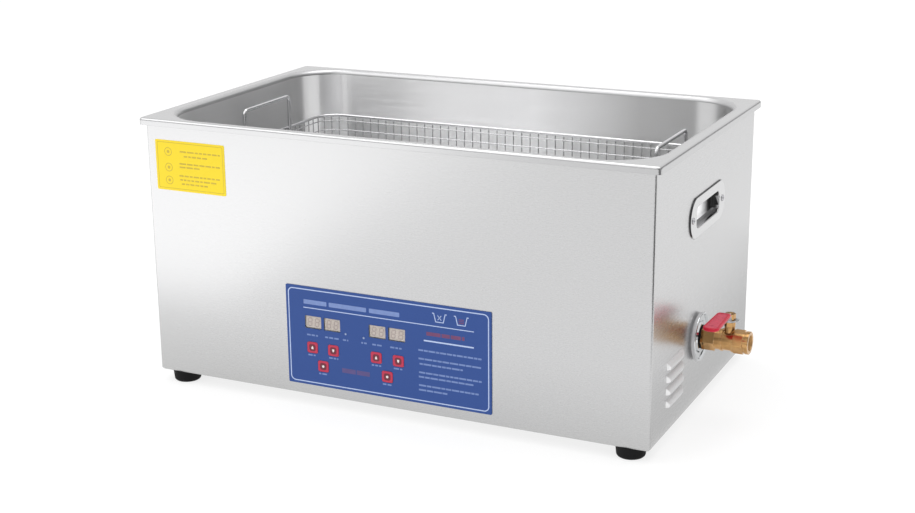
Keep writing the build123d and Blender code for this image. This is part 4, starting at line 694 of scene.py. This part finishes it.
def sky_step(source, start, end, low, high):
    """A soft step from low to high between two values of the source."""
    made = sky_node("ShaderNodeMapRange", interpolation_type="SMOOTHSTEP")
    for key, value in (("From Min", start), ("From Max", end), ("To Min", low), ("To Max", high)):
        made.inputs[key].default_value = value
    sky.links.new(source, made.inputs["Value"])
    return made.outputs["Result"]


def sky_math(operation, first, second):
    """The product or the larger one of two values."""
    made = sky_node("ShaderNodeMath", operation=operation)
    sky.links.new(first, made.inputs[0])
    sky.links.new(second, made.inputs[1])
    return made.outputs[0]


direction = sky_node("ShaderNodeSeparateXYZ")
sky.links.new(sky_node("ShaderNodeTexCoord").outputs["Generated"], direction.inputs[0])
right_gap = sky_step(direction.outputs["X"], 0.15, 0.40, 1.0, 0.06)
band_low = sky_step(direction.outputs["Z"], 0.10, 0.18, 1.0, 0.0)
band_high = sky_step(direction.outputs["Z"], 0.36, 0.52, 0.0, 1.0)
horizon = sky_step(direction.outputs["Z"], 0.02, 0.12, 0.22, 1.0)
outside_band = sky_math("MAXIMUM", band_low, band_high)
outside_dark = sky_math("MAXIMUM", outside_band, right_gap)
background = sky.nodes["Background"]
sky.links.new(sky_math("MULTIPLY", outside_dark, horizon), background.inputs["Strength"])
background.inputs["Color"].default_value = (1, 1, 1, 1)
bpy.context.scene.world = world

# The camera stands in front and to the right of the object, a little above it
SENSOR_MM, LENS_MM = 36.0, 63.251
AZIMUTH, ELEVATION, ROLL = (math.radians(a) for a in (25.409, 16.528, -0.4996))
EYE = Vector((0.67103, -1.41154, 0.58330))
back = Vector((math.sin(AZIMUTH) * math.cos(ELEVATION), -math.cos(AZIMUTH) * math.cos(ELEVATION),
               math.sin(ELEVATION)))
right = Vector((0, 0, 1)).cross(back).normalized()
up = back.cross(right)
turned_right = right * math.cos(ROLL) + up * math.sin(ROLL)
turned_up = up * math.cos(ROLL) - right * math.sin(ROLL)
camera_data = bpy.data.cameras.new("camera")
camera_data.sensor_width = SENSOR_MM
camera_data.lens = LENS_MM
camera_data.clip_start = 0.01
camera = bpy.data.objects.new("camera", camera_data)
camera.matrix_world = Matrix((turned_right, turned_up, back)).transposed().to_4x4()
camera.location = EYE
bpy.context.scene.collection.objects.link(camera)
bpy.context.scene.camera = camera
bpy.context.scene.view_settings.view_transform = "Standard"
